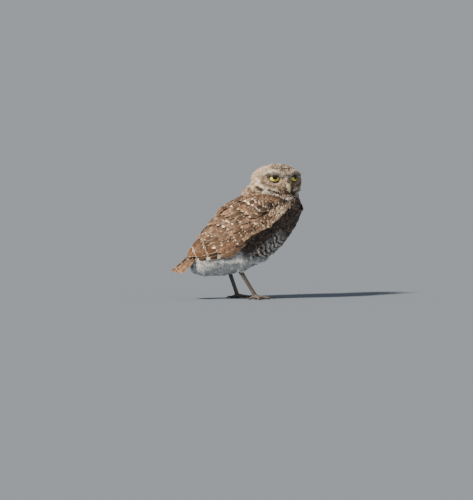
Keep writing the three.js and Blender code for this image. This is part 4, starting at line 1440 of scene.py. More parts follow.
def down_sheaves(name, roots, length, width, spread_angle, rise, seed):
    points, normals, bake = (np.repeat(part, STRANDS, axis=0) for part in roots)
    count = len(points)
    draw = np.random.default_rng(seed)
    ahead, left, high = points.T
    clump = np.sin(ahead / 2.3 + np.sin(high / 2.9)) * np.sin(left / 2.1 + high / 3.7)
    yaw = np.radians(spread_angle) * draw.standard_normal(count) + 0.45 * clump
    lies, sides = turned(lie_of_coat(points, normals), normals, yaw)
    length = length(points) * draw.uniform(0.6, 1.1, count)
    rise = rise(points) * draw.uniform(0.2, 1.3, count) * (1 + 0.5 * clump)
    curl = draw.normal(0, 0.3, count)
    u, v, top = STRAND_GRID["u"], STRAND_GRID["v"], STRAND_GRID["top"]
    taper = np.interp(v, [0, 0.5, 1], [0.7, 1.0, 0.15])
    x = u * taper * width + curl[:, None] * v * v * length[:, None] * 0.5
    y = v * length[:, None]
    z = -0.4 + rise[:, None] * np.sin(v * 1.7) + 0.12 * top * (v > 0) * (v < 1) - y * y / 90
    place = placed(points, sides, lies, normals, x, y, z)
    ground, mark, figure = plumage(points)
    ground = np.clip(ground * (1 + 0.10 * draw.standard_normal(count))[:, None], 0.01, 0.9)
    placing = np.zeros((count * len(u), 3))
    values = feather_attributes(STRAND_GRID, x, y, ground, mark, 0 * figure, placing, bake, draw)
    return mesh_object(name, place.reshape(-1, 3), repeated_faces(STRAND_GRID, count), values, DOWN)


def down_length(points):
    """Long on the belly, short down the shank, and uneven so that the coat parts in lobes."""
    lobes = np.sin(points[:, 0] / 4.1 + 1.3 * np.sin(points[:, 2] / 5.3)) * np.sin(points[:, 1] / 4.7)
    return mix(12.0 + 2.5 * lobes, 5.5, thigh_share(points))


def down_rise(points):
    """Fuller where the drawn-up thigh pushes the coat out under the wing."""
    along, up, side = body_place(points)
    away = np.sqrt((along - 97) ** 2 + (up + 31) ** 2 + (np.abs(side) - 25) ** 2)
    return 3.2 + 3.0 * np.exp(-(away / 11) ** 2)


down_roots = spread_roots(skin, spacing=1.5, seed=19)
along, up, side = body_place(down_roots[0])
keep = (head_share(down_roots[0]) <= 0.5) & ~under_wing(down_roots[0], -0.025, 0.1)
keep &= (along > 84) & (up < 0.35 * (along - 88)) | (down_roots[0][:, 2] < 62)
down_roots = chosen(down_roots, keep)
is_thigh = down_roots[0][:, 2] < 56
print("down roots:", len(down_roots[0]), "of them on the thighs:", int(is_thigh.sum()))
finished(down_sheaves("belly_down", chosen(down_roots, ~is_thigh), down_length, width=0.11,
                      spread_angle=26, rise=down_rise, seed=109), "body_feathers")
thigh_roots = chosen(down_roots, is_thigh)
thigh_roots = chosen(thigh_roots, np.arange(len(thigh_roots[0])) % 3 > 0)
finished(down_sheaves("thigh_down", thigh_roots, down_length, width=0.12,
                      spread_angle=20, rise=constant(1.2), seed=113), "leg_feathers")

# %% [markdown]
# ## The folded wings
# A folded wing shows its feathers in tiers, like a roof: the long primaries and secondaries at the
# bottom, three or more rows of coverts over their roots, and the scapulars of the shoulder over
# all. Each tier runs between its lowest and its highest feather. Every vane follows the curved
# surface of the wing, is arched across, carries a raised shaft, and is split here and there
# between its barbs as worn feathers are.

# %% Vanes that follow a surface
VANE_COLUMNS = [-1, -0.75, -0.5, -0.25, -0.05, 0, 0.05, 0.25, 0.5, 0.75, 1]
VANE_UNDER = [-1, -0.5, 0, 0.5, 1]
LONG_VANE = leaf_grid(26, VANE_COLUMNS, VANE_UNDER)
SHORT_VANE = leaf_grid(16, VANE_COLUMNS, VANE_UNDER)
FIELD_VANE = leaf_grid(8, [-1, -0.6, -0.08, 0.08, 0.6, 1], [-1, 0, 1])
VANE_THICKNESS = 0.3


def lay_vanes(surface, grid, tier, draw):
    """Places of the points of all the vanes in one tier, with their x and y in millimetres."""
    root, tip = tier["root"], tier["tip"]
    count = len(root)
    u, v, top = grid["u"], grid["v"], grid["top"]
    heading = tip - root
    length = np.linalg.norm(heading, axis=1)
    heading = heading / length[:, None]
    width = tier["half_width"] * (1 + 0.06 * draw.uniform(-1, 1, count))
    lean = np.where(u > 0, 1 + tier["lean"], 1 - tier["lean"])
    ragged = 1 - 0.05 * draw.random((count, len(u))) * (np.abs(u) > 0.9)
    splits = draw.uniform(0.35, 0.98, (count, 3))
    for k in range(3):
        notch = np.exp(-((v - splits[:, k:k + 1]) / 0.018) ** 2) * (np.abs(u) > 0.6)
        chosen_side = np.where(splits[:, k:k + 1] * 1e4 % 2 > 1, u > 0, u < 0)
        ragged = ragged - 0.16 * notch * chosen_side
    x = u * lean * outline_width(tier["outline"], v) * width[:, None] * ragged
    y = v * length[:, None]
    shaft = 0.18 * np.exp(-(u / 0.04) ** 2) * top * (1 - v)
    camber = tier["camber"] * width[:, None] * (1 - u * u)
    lift = mix(*tier["lift"], v ** 0.8)
    wave = 0.12 * draw.standard_normal((count, 1)) * np.sin(v * 5 + draw.uniform(0, 6, (count, 1))) * u
    z = lift + camber + shaft + wave + tier["roll"] * u - VANE_THICKNESS * (1 - top) * (1 - u ** 4)
    z = z + tier["rise"][:, None]
    along = root[:, :1] + heading[:, :1] * y - heading[:, 1:] * x
    rise = root[:, 1:] + heading[:, 1:] * y + heading[:, :1] * x
    return surface(along, rise, z), x, y, along, rise


def outward_faces(grid, place, count):
    """The faces of all vanes, turned so that the upper face looks away from the under face."""
    faces = repeated_faces(grid, count)
    first = place[0]
    tops = grid["faces"][len(grid["faces"]) // 4]
    a, b, c = (first[tops[k]] for k in range(3))
    normal = np.cross(b - a, c - a)
    up = first[grid["top"] > 0].mean(0) - first[grid["top"] == 0].mean(0)
    return faces if normal @ up > 0 else faces[:, ::-1]


def tier_ends(form, draw):
    """Roots and tips of a tier's feathers, in millimetres along and up round the wing."""
    steps = np.linspace(0, 1, form["count"])

    def place(pair, steps):
        (a0, s0), (a1, s1) = pair
        along = a0 + (a1 - a0) * steps + form["uneven"] * draw.uniform(-1, 1, len(steps))
        share = s0 + (s1 - s0) * steps + 0.01 * draw.uniform(-1, 1, len(steps))
        return np.stack([along, share * wing_breadth(along)], 1)

    return place(form["roots"], steps), place(form["tips"], steps ** form["curve"])


def cleft_share(along):
    """Where the scapulars end and the coverts begin, as a share of the wing's breadth."""
    return np.interp(along, [-12, -3, 8, 20, 40, 62], [0.46, 0.46, 0.42, 0.38, 0.34, 0.32])


def field_ends(form, draw):
    """The same for a field of small feathers in staggered rows on one side of the cleft."""
    (first_along, low_share), (last_along, high_share) = form["field"]
    step, roots = form["step"], []
    for row, along in enumerate(np.arange(first_along, last_along, step)):
        breadth = float(wing_breadth(np.array(along)))
        rises = np.arange(low_share * breadth + (row % 2) * step / 2, high_share * breadth, step)
        roots.append(np.stack([np.full(len(rises), along), rises], 1))
    root = np.vstack(roots)
    above = root[:, 1] / wing_breadth(root[:, 0]) - cleft_share(root[:, 0])
    root = root[above > 0.04 if form["above_cleft"] else above < -0.03]
    root = root + 0.25 * step * draw.uniform(-1, 1, root.shape)
    slants = form["slant"] + 0.12 * draw.standard_normal(len(root))
    return root, root + form["length"] * unit(np.stack([np.ones(len(root)), slants], 1))


print("faces in a long vane:", len(LONG_VANE["faces"]))

# %% [markdown]
# The tiers below run from the bottom of the pile to its top. Places are along the body and then up the
# wing as a share of its breadth. The first of a pair is the feather nearest the lower edge and the second
# the one nearest the back. The scapulars hang over the coverts and leave a dark cleft between them, and at
# the front the cleft and the shoulder above it are painted darker as shade from the neck. Spots are given
# by their radius in millimetres, bars by half their width as a share of their step.

# %% Tiers of the folded wing
def tier_form(name, count, half_width, roots, tips, lift, **more):
    form = {"name": name, "count": count, "half_width": half_width, "roots": roots, "tips": tips,
            "lift": lift, "grid": SHORT_VANE, "outline": BODY_OUTLINE, "lean": 0.0,
            "camber": 0.10, "roll": -0.35, "ground": BACK_BROWN, "mark": CREAM, "uneven": 1.2,
            "curve": 1.0, "spots": 0.0, "bars": 0.0, "fringe": 0.28, "spot_x": 1.6, "spot_row": 3.4}
    form.update(more)
    return form


def field_form(name, field, step, length, half_width, lift, **more):
    more = {"grid": FIELD_VANE, "above_cleft": False, "slant": -0.12, "roll": 0.0, "spot_x": 0.9,
            "spot_row": 1.8, **more}
    return tier_form(name, 0, half_width, None, None, lift, field=field, step=step, length=length,
                     **more)


FLIGHT_TIERS = [
    tier_form("primaries", 9, 4.8, ((90, 0.06), (100, 0.90)), ((141, 0.03), (149, 0.97)), (-3.0, -0.6),
              grid=LONG_VANE, outline=LONG_OUTLINE, curve=0.8, lean=0.12, bars=0.06, ground=RUFOUS,
              mark=CREAM, fringe=0.22),
    tier_form("secondaries", 9, 6.0, ((54, 0.06), (60, 0.94)), ((117, 0.03), (121, 0.96)), (-3.0, -0.3),
              grid=LONG_VANE, outline=LONG_OUTLINE, curve=0.9, spots=1.5, mark=PALE_BUFF, spot_x=2.6,
              ground=(0.115, 0.063, 0.036)),
    tier_form("tertials", 5, 6.0, ((66, 0.42), (70, 0.95)), ((104, 0.36), (114, 0.94)), (-2.6, 0.1),
              grid=LONG_VANE, outline=LONG_OUTLINE, spots=1.0, mark=CREAM, spot_x=3.2),
]
COVERT_TIERS = [
    tier_form("greater_coverts", 6, 5.2, ((54, 0.10), (58, 0.42)), ((92, 0.09), (86, 0.44)),
              (-2.6, 0.1), spots=1.0, mark=PALE_BUFF, ground=COVERT_BROWN),
    tier_form("median_coverts", 6, 4.6, ((40, 0.10), (44, 0.42)), ((73, 0.09), (68, 0.42)),
              (-2.6, 0.2), spots=1.0, mark=PALE_BUFF, ground=COVERT_BROWN),
    tier_form("lesser_coverts", 7, 4.0, ((28, 0.10), (31, 0.42)), ((56, 0.09), (53, 0.4)),
              (-2.5, 0.3), spots=0.9, mark=PALE_BUFF, ground=COVERT_BROWN),
    field_form("least_coverts", ((12, 0.09), (42, 0.5)), 4.6, 12.0, 3.0, (-1.3, 0.6), spots=0.8,
               fringe=0.4, mark=PALE_BUFF, ground=COVERT_BROWN),
    field_form("marginal_coverts", ((-9, 0.07), (20, 0.5)), 3.2, 8.0, 2.0, (-1.0, 1.1), spots=0.0,
               fringe=0.8, mark=PALE_BUFF, ground=TAN),
    tier_form("edge_coverts", 30, 2.3, ((-9, 0.19), (70, 0.11)), ((-1, 0.05), (79, 0.03)),
              (-0.8, 0.5), uneven=0.8, spots=0.0, fringe=0.9, mark=BUFF, grid=FIELD_VANE, roll=0.0,
              ground=TAN),
]
SCAPULAR_TIERS = [
    tier_form("cleft_feathers", 5, 3.2, ((8, 0.48), (46, 0.40)), ((24, 0.43), (64, 0.35)),
              (-1.4, 0.0), spots=1.5, mark=WHITE, spot_row=2.4, spot_x=1.0, grid=FIELD_VANE),
    tier_form("longest_scapulars", 6, 5.6, ((52, 0.44), (62, 0.95)), ((84, 0.30), (97, 0.92)),
              (-2.2, 0.9), spots=1.6, mark=PALE_BUFF, spot_x=1.8),
    tier_form("long_scapulars", 6, 5.4, ((36, 0.46), (44, 0.96)), ((68, 0.36), (80, 0.93)),
              (-2.0, 1.4), spots=1.4, mark=PALE_BUFF, spot_x=1.8),
    tier_form("middle_scapulars", 6, 5.0, ((22, 0.50), (28, 0.96)), ((52, 0.40), (62, 0.93)),
              (-1.8, 1.7), spots=1.3, mark=PALE_BUFF),
    tier_form("short_scapulars", 6, 4.6, ((12, 0.54), (15, 0.96)), ((38, 0.46), (44, 0.93)),
              (-1.7, 1.8), spots=1.4, mark=PALE_BUFF),
    field_form("shoulder_feathers", ((-6, 0.44), (22, 1.0)), 4.0, 10.5, 2.8, (-1.2, 1.0), spots=0.9,
               mark=CREAM, slant=0.05, above_cleft=True),
]
BACK_TUCK = 1.8
BAR_STEP = 12.7
BAR_PLACE = 130.0
BAR_SLOPE = 0.3
WING_SEEDS = {"left": 4177, "right": 9203}
print("tiers in a wing:", len(FLIGHT_TIERS + COVERT_TIERS + SCAPULAR_TIERS))


# %% Build both wings
def atlas_places(count, first, total, grid):
    """A strip of an even sheet for each long vane, so that its marks survive a colour map."""
    columns = math.ceil(math.sqrt(total * 2.5))
    rows = math.ceil(total / columns)
    index = first + np.arange(count)
    corner = np.stack([(index % columns) / columns, (index // columns) / rows], 1)
    size = np.array([0.86 / columns, 0.94 / rows])
    local = np.stack([(grid["u"] + 1) / 2, grid["v"]], 1)
    places = corner[:, None] + (local[None] + 0.04) * size
    return np.clip(places, 0.001, 0.999).reshape(-1, 2)


def wing_ground(form, root, draw):
    """A tier's ground colour, with painted shade at the front of the shoulder, where the neck shades it,
    and paler at the bend of the wing, partly as its buff coverts and partly as painted sunlight.
    """
    along, rise = root.T
    share = rise / wing_breadth(along)
    above = share - cleft_share(along)
    # Painted shade: the front of the shoulder above the cleft, which the neck shades, is made near-black.
    dark = smooth(-0.02, 0.03, above) * smooth(0.34, 0.2, above) * smooth(26, 10, along)
    # Paler at the bend of the wing: partly its buff coverts, partly painted sunlight where the bend
    # catches the low sun.
    pale = smooth(-0.02, -0.06, above) * smooth(20, 6, along)
    ground = colour_rows(form["ground"], len(root))
    ground = mix_rows(ground, TAN_BROWN, draw.uniform(0, 0.6, len(root)))
    ground = mix_rows(ground, PAINTED_SHADE_BROWN, 0.95 * dark)
    ground = mix_rows(ground, BUFF, 0.95 * pale)
    return np.clip(ground * (1 + 0.26 * draw.standard_normal((len(root), 1))), 0.01, 0.9)


def wing_marks(form, along, rise, draw):
    """Figures and places of the marks. The lowest primaries carry white patches on their edge."""
    count = len(along)
    figure = np.tile([form["spots"], form["bars"], form["fringe"]], (count, 1))
    mark = mix_rows(colour_rows(form["mark"], count), form["ground"], draw.uniform(0, 0.75, count))
    phase = (along + BAR_SLOPE * rise - BAR_PLACE) / BAR_STEP + 0.5
    phase = phase + 0.04 * draw.standard_normal((count, 1))
    if form["name"] == "primaries":
        figure[0, 1] = 0.17
        mark[0] = EDGE_WHITE
        figure[:3, 2] = 0.6
    if form["spots"]:
        figure[:, 0] *= np.where(draw.random(count) < 0.75, draw.uniform(0.45, 1.15, count), 0.1)
    spot_row = form["spot_row"] * (1 + 0.3 * draw.standard_normal((count, 1)))
    pair = np.where(draw.random((count, 1)) < 0.4, form["spot_x"], 0.5 * draw.random((count, 1)))
    placing = np.stack([phase, spot_row + 0 * phase, pair + 0 * phase], 2)
    return figure, np.clip(mark, 0.01, 0.9), placing.reshape(-1, 3)


def vane_batch(grid, place, x, y, marks, first, total, draw):
    """Points, faces and attributes of one tier. Marks are ground, mark, figure and placing."""
    count = len(x)
    values = feather_attributes(grid, x, y, *marks, np.zeros((count, 2)), draw)
    values["OFBake"] = atlas_places(count, first, total, grid)
    return place.reshape(-1, 3), outward_faces(grid, place, count), values


def vane_piece(name, batches):
    points, faces = joined([batch[:2] for batch in batches])
    values = {key: np.vstack([batch[2][key] for batch in batches]) for key in batches[0][2]}
    return mesh_object(name, points, faces, values, FIRM_VANE)


def wing_piece(name, side, tiers, seed):
    draw = np.random.default_rng(seed)
    surface = wing_surface(side)
    ends = [field_ends(form, draw) if "field" in form else tier_ends(form, draw) for form in tiers]
    total = sum(len(root) for root, _ in ends)
    batches, done = [], 0
    for form, (root, tip) in zip(tiers, ends):
        grid, count = form["grid"], len(root)
        stack = 0.12 * (np.arange(count) % 2) + 0.1 * draw.standard_normal(count)
        at_back = smooth(0.78, 0.95, tip[:, 1] / wing_breadth(tip[:, 0]))
        stack = stack - (BACK_TUCK * smooth(140, 110, tip[:, 0]) + 0.35 * side) * at_back
        laid = dict(form, root=root, tip=tip, rise=stack)
        place, x, y, along, rise = lay_vanes(surface, grid, laid, draw)
        figure, mark, placing = wing_marks(form, along, rise, draw)
        marks = wing_ground(form, root, draw), mark, figure, placing
        batches.append(vane_batch(grid, place, x, y, marks, done, total, draw))
        done += count
    return vane_piece(name, batches)


for name, side in EYE_SIDES.items():
    seed = WING_SEEDS[name]
    flight = wing_piece(f"flight_feathers_{name}", side, FLIGHT_TIERS, seed)
    finished(flight, "wing_feathers", f"wing_{name}")
    finished(wing_piece(f"coverts_{name}", side, COVERT_TIERS, seed + 1), "wing_feathers")
    finished(wing_piece(f"scapulars_{name}", side, SCAPULAR_TIERS, seed + 2), "wing_feathers")

# %% [markdown]
# ## The tail
# Twelve feathers make the folded tail, six on each side. The middle pair lies on top and every
# other pair slides out a little further underneath. They are rufous brown with buff bars and a
# cream tip.

# %% Tail feathers
TAIL_PAIRS = 6
TAIL_FEATHER_HALF_WIDTH = 4.4
TAIL_ROUNDING = 8.0
TAIL_BAR_STEP = 10.5
TAIL_ROOT = 128.0
VANE_FORM = {"outline": LONG_OUTLINE, "lean": 0.0, "roll": 0.0}


def tail_feathers():
    draw = np.random.default_rng(631)
    pairs = np.repeat(np.arange(TAIL_PAIRS), 2)
    sides = np.tile([-1, 1], TAIL_PAIRS)
    share = (pairs + 0.4) / TAIL_PAIRS
    root = np.stack([np.full(len(pairs), TAIL_ROOT), sides * share * TAIL_HALF_WIDTH[0] * 0.7], 1)
    tip = np.stack([TAIL_END + 0.8 - TAIL_ROUNDING * share ** 2,
                    sides * share * (TAIL_HALF_WIDTH[1] - 2)], 1)
    rise = (1.6 - pairs) * 0.42 + 0.1 * sides
    count = len(pairs)
    grid = LONG_VANE
    form = dict(VANE_FORM, root=root, tip=tip, rise=rise, half_width=TAIL_FEATHER_HALF_WIDTH,
                camber=0.08, lift=(-0.4, 0.0))
    place, x, y, along, _ = lay_vanes(tail_surface, grid, form, draw)
    ground = colour_rows(RUFOUS, count) * (1.0 + 0.25 * draw.standard_normal((count, 1)))
    phase = (along - TAIL_START) / TAIL_BAR_STEP + 0.03 * draw.standard_normal((count, 1))
    placing = np.stack([phase, 0 * phase, 0 * phase], 2).reshape(-1, 3)
    figure = np.tile([0.0, 0.06, 0.7], (count, 1))
    mark = mix_rows(colour_rows(BUFF, count), RUFOUS, draw.uniform(0, 0.5, count))
    marks = np.clip(ground, 0.01, 0.9), mark, figure, placing
    return vane_piece("tail_feathers", [vane_batch(grid, place, x, y, marks, 0, count, draw)])


finished(tail_feathers(), "tail_feathers", "tail")

# %% [markdown]
# Between the tips of the wings the rump would show as a slit. Rows of long brown feathers with
# buff spots close it down to the root of the tail.

# %% Rump feathers
RUMP_ROWS = [(62, 86), (73, 98), (84, 110), (96, 123), (109, 136), (122, 150)]
RUMP_COUNT = 7


def rump_feathers():
    draw = np.random.default_rng(641)
    rows = np.repeat(np.arange(len(RUMP_ROWS)), RUMP_COUNT)
    across = np.tile(np.linspace(-1, 1, RUMP_COUNT), len(RUMP_ROWS))
    starts, stops = np.array(RUMP_ROWS, float)[rows].T
    uneven = draw.uniform(-1.5, 1.5, len(rows))
    root = np.stack([starts + uneven, mix(5.0, 9.0, smooth(90, 120, starts)) * across], 1)
    tip = np.stack([stops + uneven - 3 * np.abs(across),
                    mix(7.0, 12.0, smooth(90, 120, starts)) * across], 1)
    rise = 0.25 * (1 - np.abs(across)) + 0.1 * (np.arange(len(rows)) % 2)
    form = dict(VANE_FORM, root=root, tip=tip, rise=rise, half_width=3.6, outline=BODY_OUTLINE,
                camber=0.1, lift=(-1.6, 0.2))
    count, grid = len(rows), SHORT_VANE
    place, x, y, _, _ = lay_vanes(rump_surface, grid, form, draw)
    ground = colour_rows(BACK_BROWN, count) * (1.0 + 0.2 * draw.standard_normal((count, 1)))
    figure = np.tile([0.9, 0.0, 0.25], (count, 1))
    placing = np.tile([0.0, 2.4, 1.4], (x.size, 1))
    marks = np.clip(ground, 0.01, 0.9), colour_rows(BUFF, count), figure, placing
    return vane_piece("rump_feathers", [vane_batch(grid, place, x, y, marks, 0, count, draw)])


finished(rump_feathers(), "body_feathers")

# %% [markdown]
# ## Eyes
# The eye is a yellow iris with fine rays and a dark rim round a black pupil, all under one wet
# cornea. A clear shell over an iris would be truer but turns dark and noisy in a small picture,
# so the ball is painted from its own axis and given a clear coat, and the cornea is a low bulge.

# %% The eyeballs
GAZE_LIFT = math.radians(12)
IRIS_ANGLE = math.radians(54)
PUPIL_ANGLE = math.radians(22)
CORNEA_RISE = 0.5


def eye_material(name, centre, gaze):
    material, tree, shader = new_material(name, Roughness=0.5, Specular_IOR_Level=0.0,
                                          Coat_Weight=0.7, Coat_Roughness=0.02)
    place = place_on_object(tree)
    away = add_node(tree, "ShaderNodeVectorMath", place, tuple(centre * MM), operation="SUBTRACT")
    away = add_node(tree, "ShaderNodeVectorMath", away.outputs[0], operation="NORMALIZE").outputs[0]
    facing = add_node(tree, "ShaderNodeVectorMath", away, tuple(gaze), operation="DOT_PRODUCT")
    angle = calculate(tree, "ARCCOSINE", facing.outputs["Value"])
    rays = noise(tree, away, 26.0, 3.0)
    yellow = blend_colours(tree, rays, (0.78, 0.68, 0.06, 1), (1.0, 0.94, 0.24, 1))
    inner = blend_colours(tree, ramp(tree, angle, PUPIL_ANGLE + 0.2, PUPIL_ANGLE), yellow,
                          (0.55, 0.45, 0.02, 1))
    rim = blend_colours(tree, ramp(tree, angle, IRIS_ANGLE - 0.06, IRIS_ANGLE), inner,
                        (0.015, 0.012, 0.01, 1))
    pupil = blend_colours(tree, ramp(tree, angle, PUPIL_ANGLE + 0.02, PUPIL_ANGLE - 0.02), rim,
                          (0.002, 0.002, 0.002, 1))
    plug(tree, shader.inputs["Base Color"], pupil)
    return material


def sphere_arrays(rings, around):
    turns = np.linspace(0, math.pi, rings + 1)[1:-1]
    spins = np.linspace(0, 2 * math.pi, around, endpoint=False)
    body = [[math.sin(t) * math.cos(s), math.sin(t) * math.sin(s), math.cos(t)]
            for t in turns for s in spins]
    points = np.array(body + [[0, 0, 1], [0, 0, -1]])
    top, bottom = len(points) - 2, len(points) - 1
    faces = []
    for row in range(len(turns) - 1):
        for j in range(around):
            a, b = row * around + j, row * around + (j + 1) % around
            faces += [[a, a + around, b + around], [a, b + around, b]]
    last = (len(turns) - 1) * around
    for j in range(around):
        following = (j + 1) % around
        faces += [[top, j, following], [bottom, last + following, last + j]]
    return points, np.array(faces)


def make_eye(name, side):
    centre, ahead, _, up = eye_frame(side)
    gaze = unit(ahead * math.cos(GAZE_LIFT) + up * math.sin(GAZE_LIFT))
    points, faces = sphere_arrays(40, 64)
    sideways = unit(np.cross(gaze, up))
    upward = np.cross(sideways, gaze)
    bulge = CORNEA_RISE * np.exp(-(np.arccos(np.clip(points[:, 2], -1, 1)) / 0.75) ** 4)
    place = (EYE_RADIUS - CORNEA_RISE + bulge)[:, None] * points
    place = centre + place[:, :1] * sideways + place[:, 1:2] * upward + place[:, 2:] * gaze
    eye = mesh_object(f"eyeball_{name}", place, faces, None, eye_material(f"eye {name}", centre, gaze))
    return finished(eye, "eye_gloss", f"eye_{name}")


for name, side in EYE_SIDES.items():
    make_eye(name, side)

# %% [markdown]
# ## Lids
# The lids are thin rims of bare dark skin that hug the ball. The upper one is nearly straight,
# which gives the bird its stern look, and the lower one is round.

# %% Lids round each eye
LID_STEPS = 72
LID_PROFILE = [(-0.3, -0.9), (0.0, 0.1), (0.2, 0.45), (0.5, 0.7), (0.95, 0.75), (1.5, 0.3)]
UPPER_LID_BROADER = 0.85


def lid_opening(turn):
    """The rim of the opening, across and up, in millimetres."""
    across = LID_HALF_WIDTH * np.cos(turn)
    height = np.where(np.sin(turn) > 0, LID_UPPER, LID_LOWER)
    flat = np.where(np.sin(turn) > 0, 0.72, 0.95)
    return across, height * np.sign(np.sin(turn)) * np.abs(np.sin(turn)) ** flat + LID_SLANT * across


LID_SKIN = mottled_material("bare lid skin", 1500.0, (0.008, 0.007, 0.006, 1),
                            (0.03, 0.025, 0.022, 1), relief=0.4, depth=0.0002, roughness=0.55)


def make_lids(name, side):
    centre, ahead, across, up = eye_frame(side)
    turns = np.linspace(0, 2 * math.pi, LID_STEPS, endpoint=False)
    x, y = lid_opening(turns)
    along_x, along_y = np.roll(x, -1) - np.roll(x, 1), np.roll(y, -1) - np.roll(y, 1)
    outward = unit(np.stack([along_y, -along_x], 1))
    rings = []
    for widen, rise in LID_PROFILE:
        widen = widen * (1 + UPPER_LID_BROADER * np.maximum(outward[:, 1], 0))
        px, py = x + widen * outward[:, 0], y + widen * outward[:, 1]
        radius = EYE_RADIUS + rise
        depth = np.sqrt(np.maximum(radius ** 2 - px ** 2 - py ** 2, 9.0))
        rings.append(centre + px[:, None] * across + py[:, None] * up + depth[:, None] * ahead)
    row, column = np.divmod(np.arange(len(rings) * LID_STEPS), LID_STEPS)
    row, next_row = row * LID_STEPS, (row + 1) % len(rings) * LID_STEPS
    next_column = (column + 1) % LID_STEPS
    faces = np.stack([row + column, row + next_column, next_row + next_column, next_row + column], 1)
    points = np.vstack(rings)
    middle = points[faces].mean(1)
    a, b, c = (points[faces[:, k]] for k in range(3))
    outwardness = np.einsum("ij,ij->i", np.cross(b - a, c - a), middle - centre)[:LID_STEPS * 4].sum()
    faces = faces if outwardness > 0 else faces[:, ::-1]
    lid = mesh_object(f"lids_{name}", points, faces, None, LID_SKIN)
    return finished(lid, "leg_skin")


for name, side in EYE_SIDES.items():
    make_lids(name, side)

# %% [markdown]
# ## Bill
# The upper half is a smooth hook that closes over the lower one. Both are swept tubes whose
# width and height change along a curved path, which is how the solids draw them, only finer.
# The horn is pale and yellowish, greyer at the base, with a nostril on each side.

# %% Swept tubes
BILL_STATIONS = 36
BILL_AROUND = 32
BILL_END_RINGS = [(0.1575, 0.8), (0.3375, 0.35)]


def spline(knots, count):
    """Points along a smooth curve through knots."""
    knots = np.asarray(knots, float)
    steps = np.arange(len(knots), dtype=float)
    rows = np.column_stack([steps, knots])
    return row_at(rows, np.linspace(0, len(knots) - 1, count)).T


def swept_tube(path, half_widths, half_heights, sideways):
    """A closed tube along a path, rounded off behind its first ring."""
    path = spline(path, BILL_STATIONS)
    sizes = spline(np.column_stack([half_widths, half_heights]), BILL_STATIONS)
    tangents = unit(np.gradient(path, axis=0))
    ups = unit(np.cross(tangents, sideways))
    sides = np.cross(ups, tangents)
    turns = np.linspace(0, 2 * math.pi, BILL_AROUND, endpoint=False)
    rings = [path[i] + sizes[i, 0] * np.cos(turns)[:, None] * sides[i]
             + sizes[i, 1] * np.sin(turns)[:, None] * ups[i] for i in range(BILL_STATIONS)]
    first = rings[0] - path[0]
    for behind, size in BILL_END_RINGS:
        rings.insert(0, path[0] - tangents[0] * behind * sizes[0, 1] + first * size)
    return ring_shell(rings)


BILL_UPPER = {
    "path": [[17, 0, -3], [23, 0, -3.4], [27.4, 0, -5.8], [29.9, 0, -10], [30.6, 0, -14.7]],
    "widths": [4.8, 4.7, 4.1, 2.5, 0.35],
    "heights": [4.2, 4.2, 3.8, 2.4, 0.35],
}
BILL_LOWER = {
    "path": [[16, 0, -9.8], [21, 0, -10.2], [25, 0, -10.9], [27.6, 0, -11.2]],
    "widths": [4, 3.9, 2.8, 1],
    "heights": [2, 1.9, 1.4, 0.7],
}
NOSTRIL = np.array([26.0, 3.9, -3.4])
NOSTRIL_DEPTH = 0.6


def horn_material():
    material, tree, shader = new_material("pale horn", Roughness=0.42)
    place = place_on_object(tree)
    streaks = noise(tree, place, 500.0, 4.0)
    base_place = tuple(head_point(NOSTRIL * [0.8, 0, 1]) * MM)
    away = add_node(tree, "ShaderNodeVectorMath", place, base_place, operation="SUBTRACT").outputs[0]
    ahead = add_node(tree, "ShaderNodeVectorMath", away, tuple(FACING), operation="DOT_PRODUCT")
    tipward = ramp(tree, ahead.outputs["Value"], 0.002, 0.009)
    base = blend_colours(tree, streaks, (0.07, 0.062, 0.055, 1), (0.14, 0.125, 0.105, 1))
    pale = blend_colours(tree, streaks, (0.20, 0.17, 0.10, 1), (0.38, 0.33, 0.20, 1))
    colour = blend_colours(tree, tipward, base, pale)
    for side in EYE_SIDES.values():
        nostril = tuple(head_point(NOSTRIL * [1, side, 1]) * MM)
        away = add_node(tree, "ShaderNodeVectorMath", place, nostril, operation="DISTANCE")
        # Painted shade: each nostril opening is painted near-black over a shallow dent, as the shade
        # inside it.
        painted_nostril_shade = ramp(tree, away.outputs["Value"], 0.0013, 0.0007)
        colour = blend_colours(tree, painted_nostril_shade, colour, (0.01, 0.008, 0.006, 1))
    plug(tree, shader.inputs["Base Color"], colour)
    plug(tree, shader.inputs["Normal"], bump(tree, streaks, 0.25, 0.0002))
    return material


PALE_HORN = horn_material()


def make_bill(name, form, node):
    points, triangles = swept_tube(head_point(form["path"]), form["widths"], form["heights"], FACE_LEFT)
    for side in EYE_SIDES.values():
        away = np.linalg.norm(points - head_point(NOSTRIL * [1, side, 1]), axis=1)
        dent = NOSTRIL_DEPTH * np.exp(-away ** 2)[:, None]
        points = points - side * FACE_LEFT * dent
    bill = mesh_object(name, points, triangles, None, PALE_HORN)
    return finished(bill, "bill_horn", node)


make_bill("upper_bill", BILL_UPPER, "bill_upper")
make_bill("lower_bill", BILL_LOWER, "bill_lower")

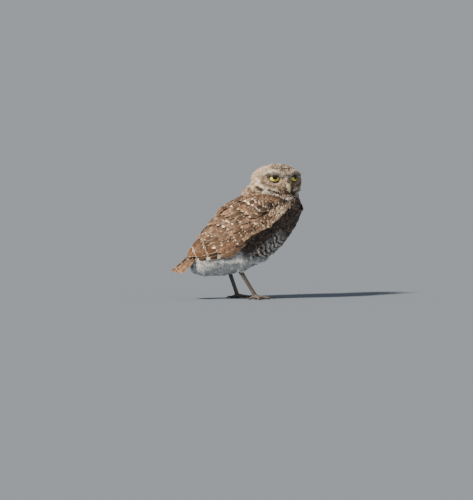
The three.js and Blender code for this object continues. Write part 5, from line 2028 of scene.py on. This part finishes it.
# %% [markdown]
# ## Legs, toes and claws
# The long bare shanks and the toes are scaly. One surface is made for each leg from copies of its
# solids, finely remeshed so that the toes stay slim. Its fine scales are drawn by the material.
# The claws are smoothed copies of their solids in dark horn.

# %% Leg skin
LEG_VOXEL = 0.45
LEG_SWELL = 0.25


def scaled_skin_material():
    material, tree, shader = new_material("scaled skin", Roughness=0.6)
    place = place_on_object(tree)
    cells = add_node(tree, "ShaderNodeTexVoronoi", place, feature="DISTANCE_TO_EDGE")
    cells.inputs["Scale"].default_value = 1000.0
    grooves = ramp(tree, cells.outputs["Distance"], 0.0, 0.18)
    blotches = noise(tree, place, 250.0, 3.0)
    low = blend_colours(tree, blotches, (0.10, 0.080, 0.068, 1), (0.25, 0.21, 0.18, 1))
    colour = blend_colours(tree, grooves, (0.045, 0.036, 0.031, 1), low)
    plug(tree, shader.inputs["Base Color"], colour)
    plug(tree, shader.inputs["Normal"], bump(tree, grooves, 0.5, 0.0002))
    return material


SCALED_SKIN = scaled_skin_material()


def make_leg(name):
    parts = [swollen(*node_copy(f"{node}_{name}"), LEG_SWELL) for node in ("tarsus", "foot")]
    leg = remeshed(f"leg_{name}", parts, LEG_VOXEL, smoothing=4)
    points, triangles = mesh_arrays(leg)
    points = points - LEG_SWELL * point_normals(points, triangles)
    points[:, 2] = np.maximum(points[:, 2], 0.0)
    set_points(leg, points)
    dress(leg, SCALED_SKIN)
    return finished(leg, "leg_skin", f"tarsus_{name}", f"foot_{name}")


for name in EYE_SIDES:
    make_leg(name)


# %% Claws
CLAW_HORN = mottled_material("claw horn", 600.0, (0.012, 0.010, 0.009, 1),
                             (0.055, 0.045, 0.036, 1), relief=0.2, depth=0.0001, roughness=0.32)


def make_claw(node):
    rough = mesh_object("rough " + node, *node_copy(node))
    rounder = rough.modifiers.new("rounder", "SUBSURF")
    rounder.levels = rounder.render_levels = 2
    claw = evaluated_copy(rough, node + "_horn")
    discard(rough)
    dress(claw, CLAW_HORN)
    return finished(claw, "claw_horn", node)


for name in EYE_SIDES:
    for toe in range(1, 5):
        make_claw(f"claw_{name}_{toe}")
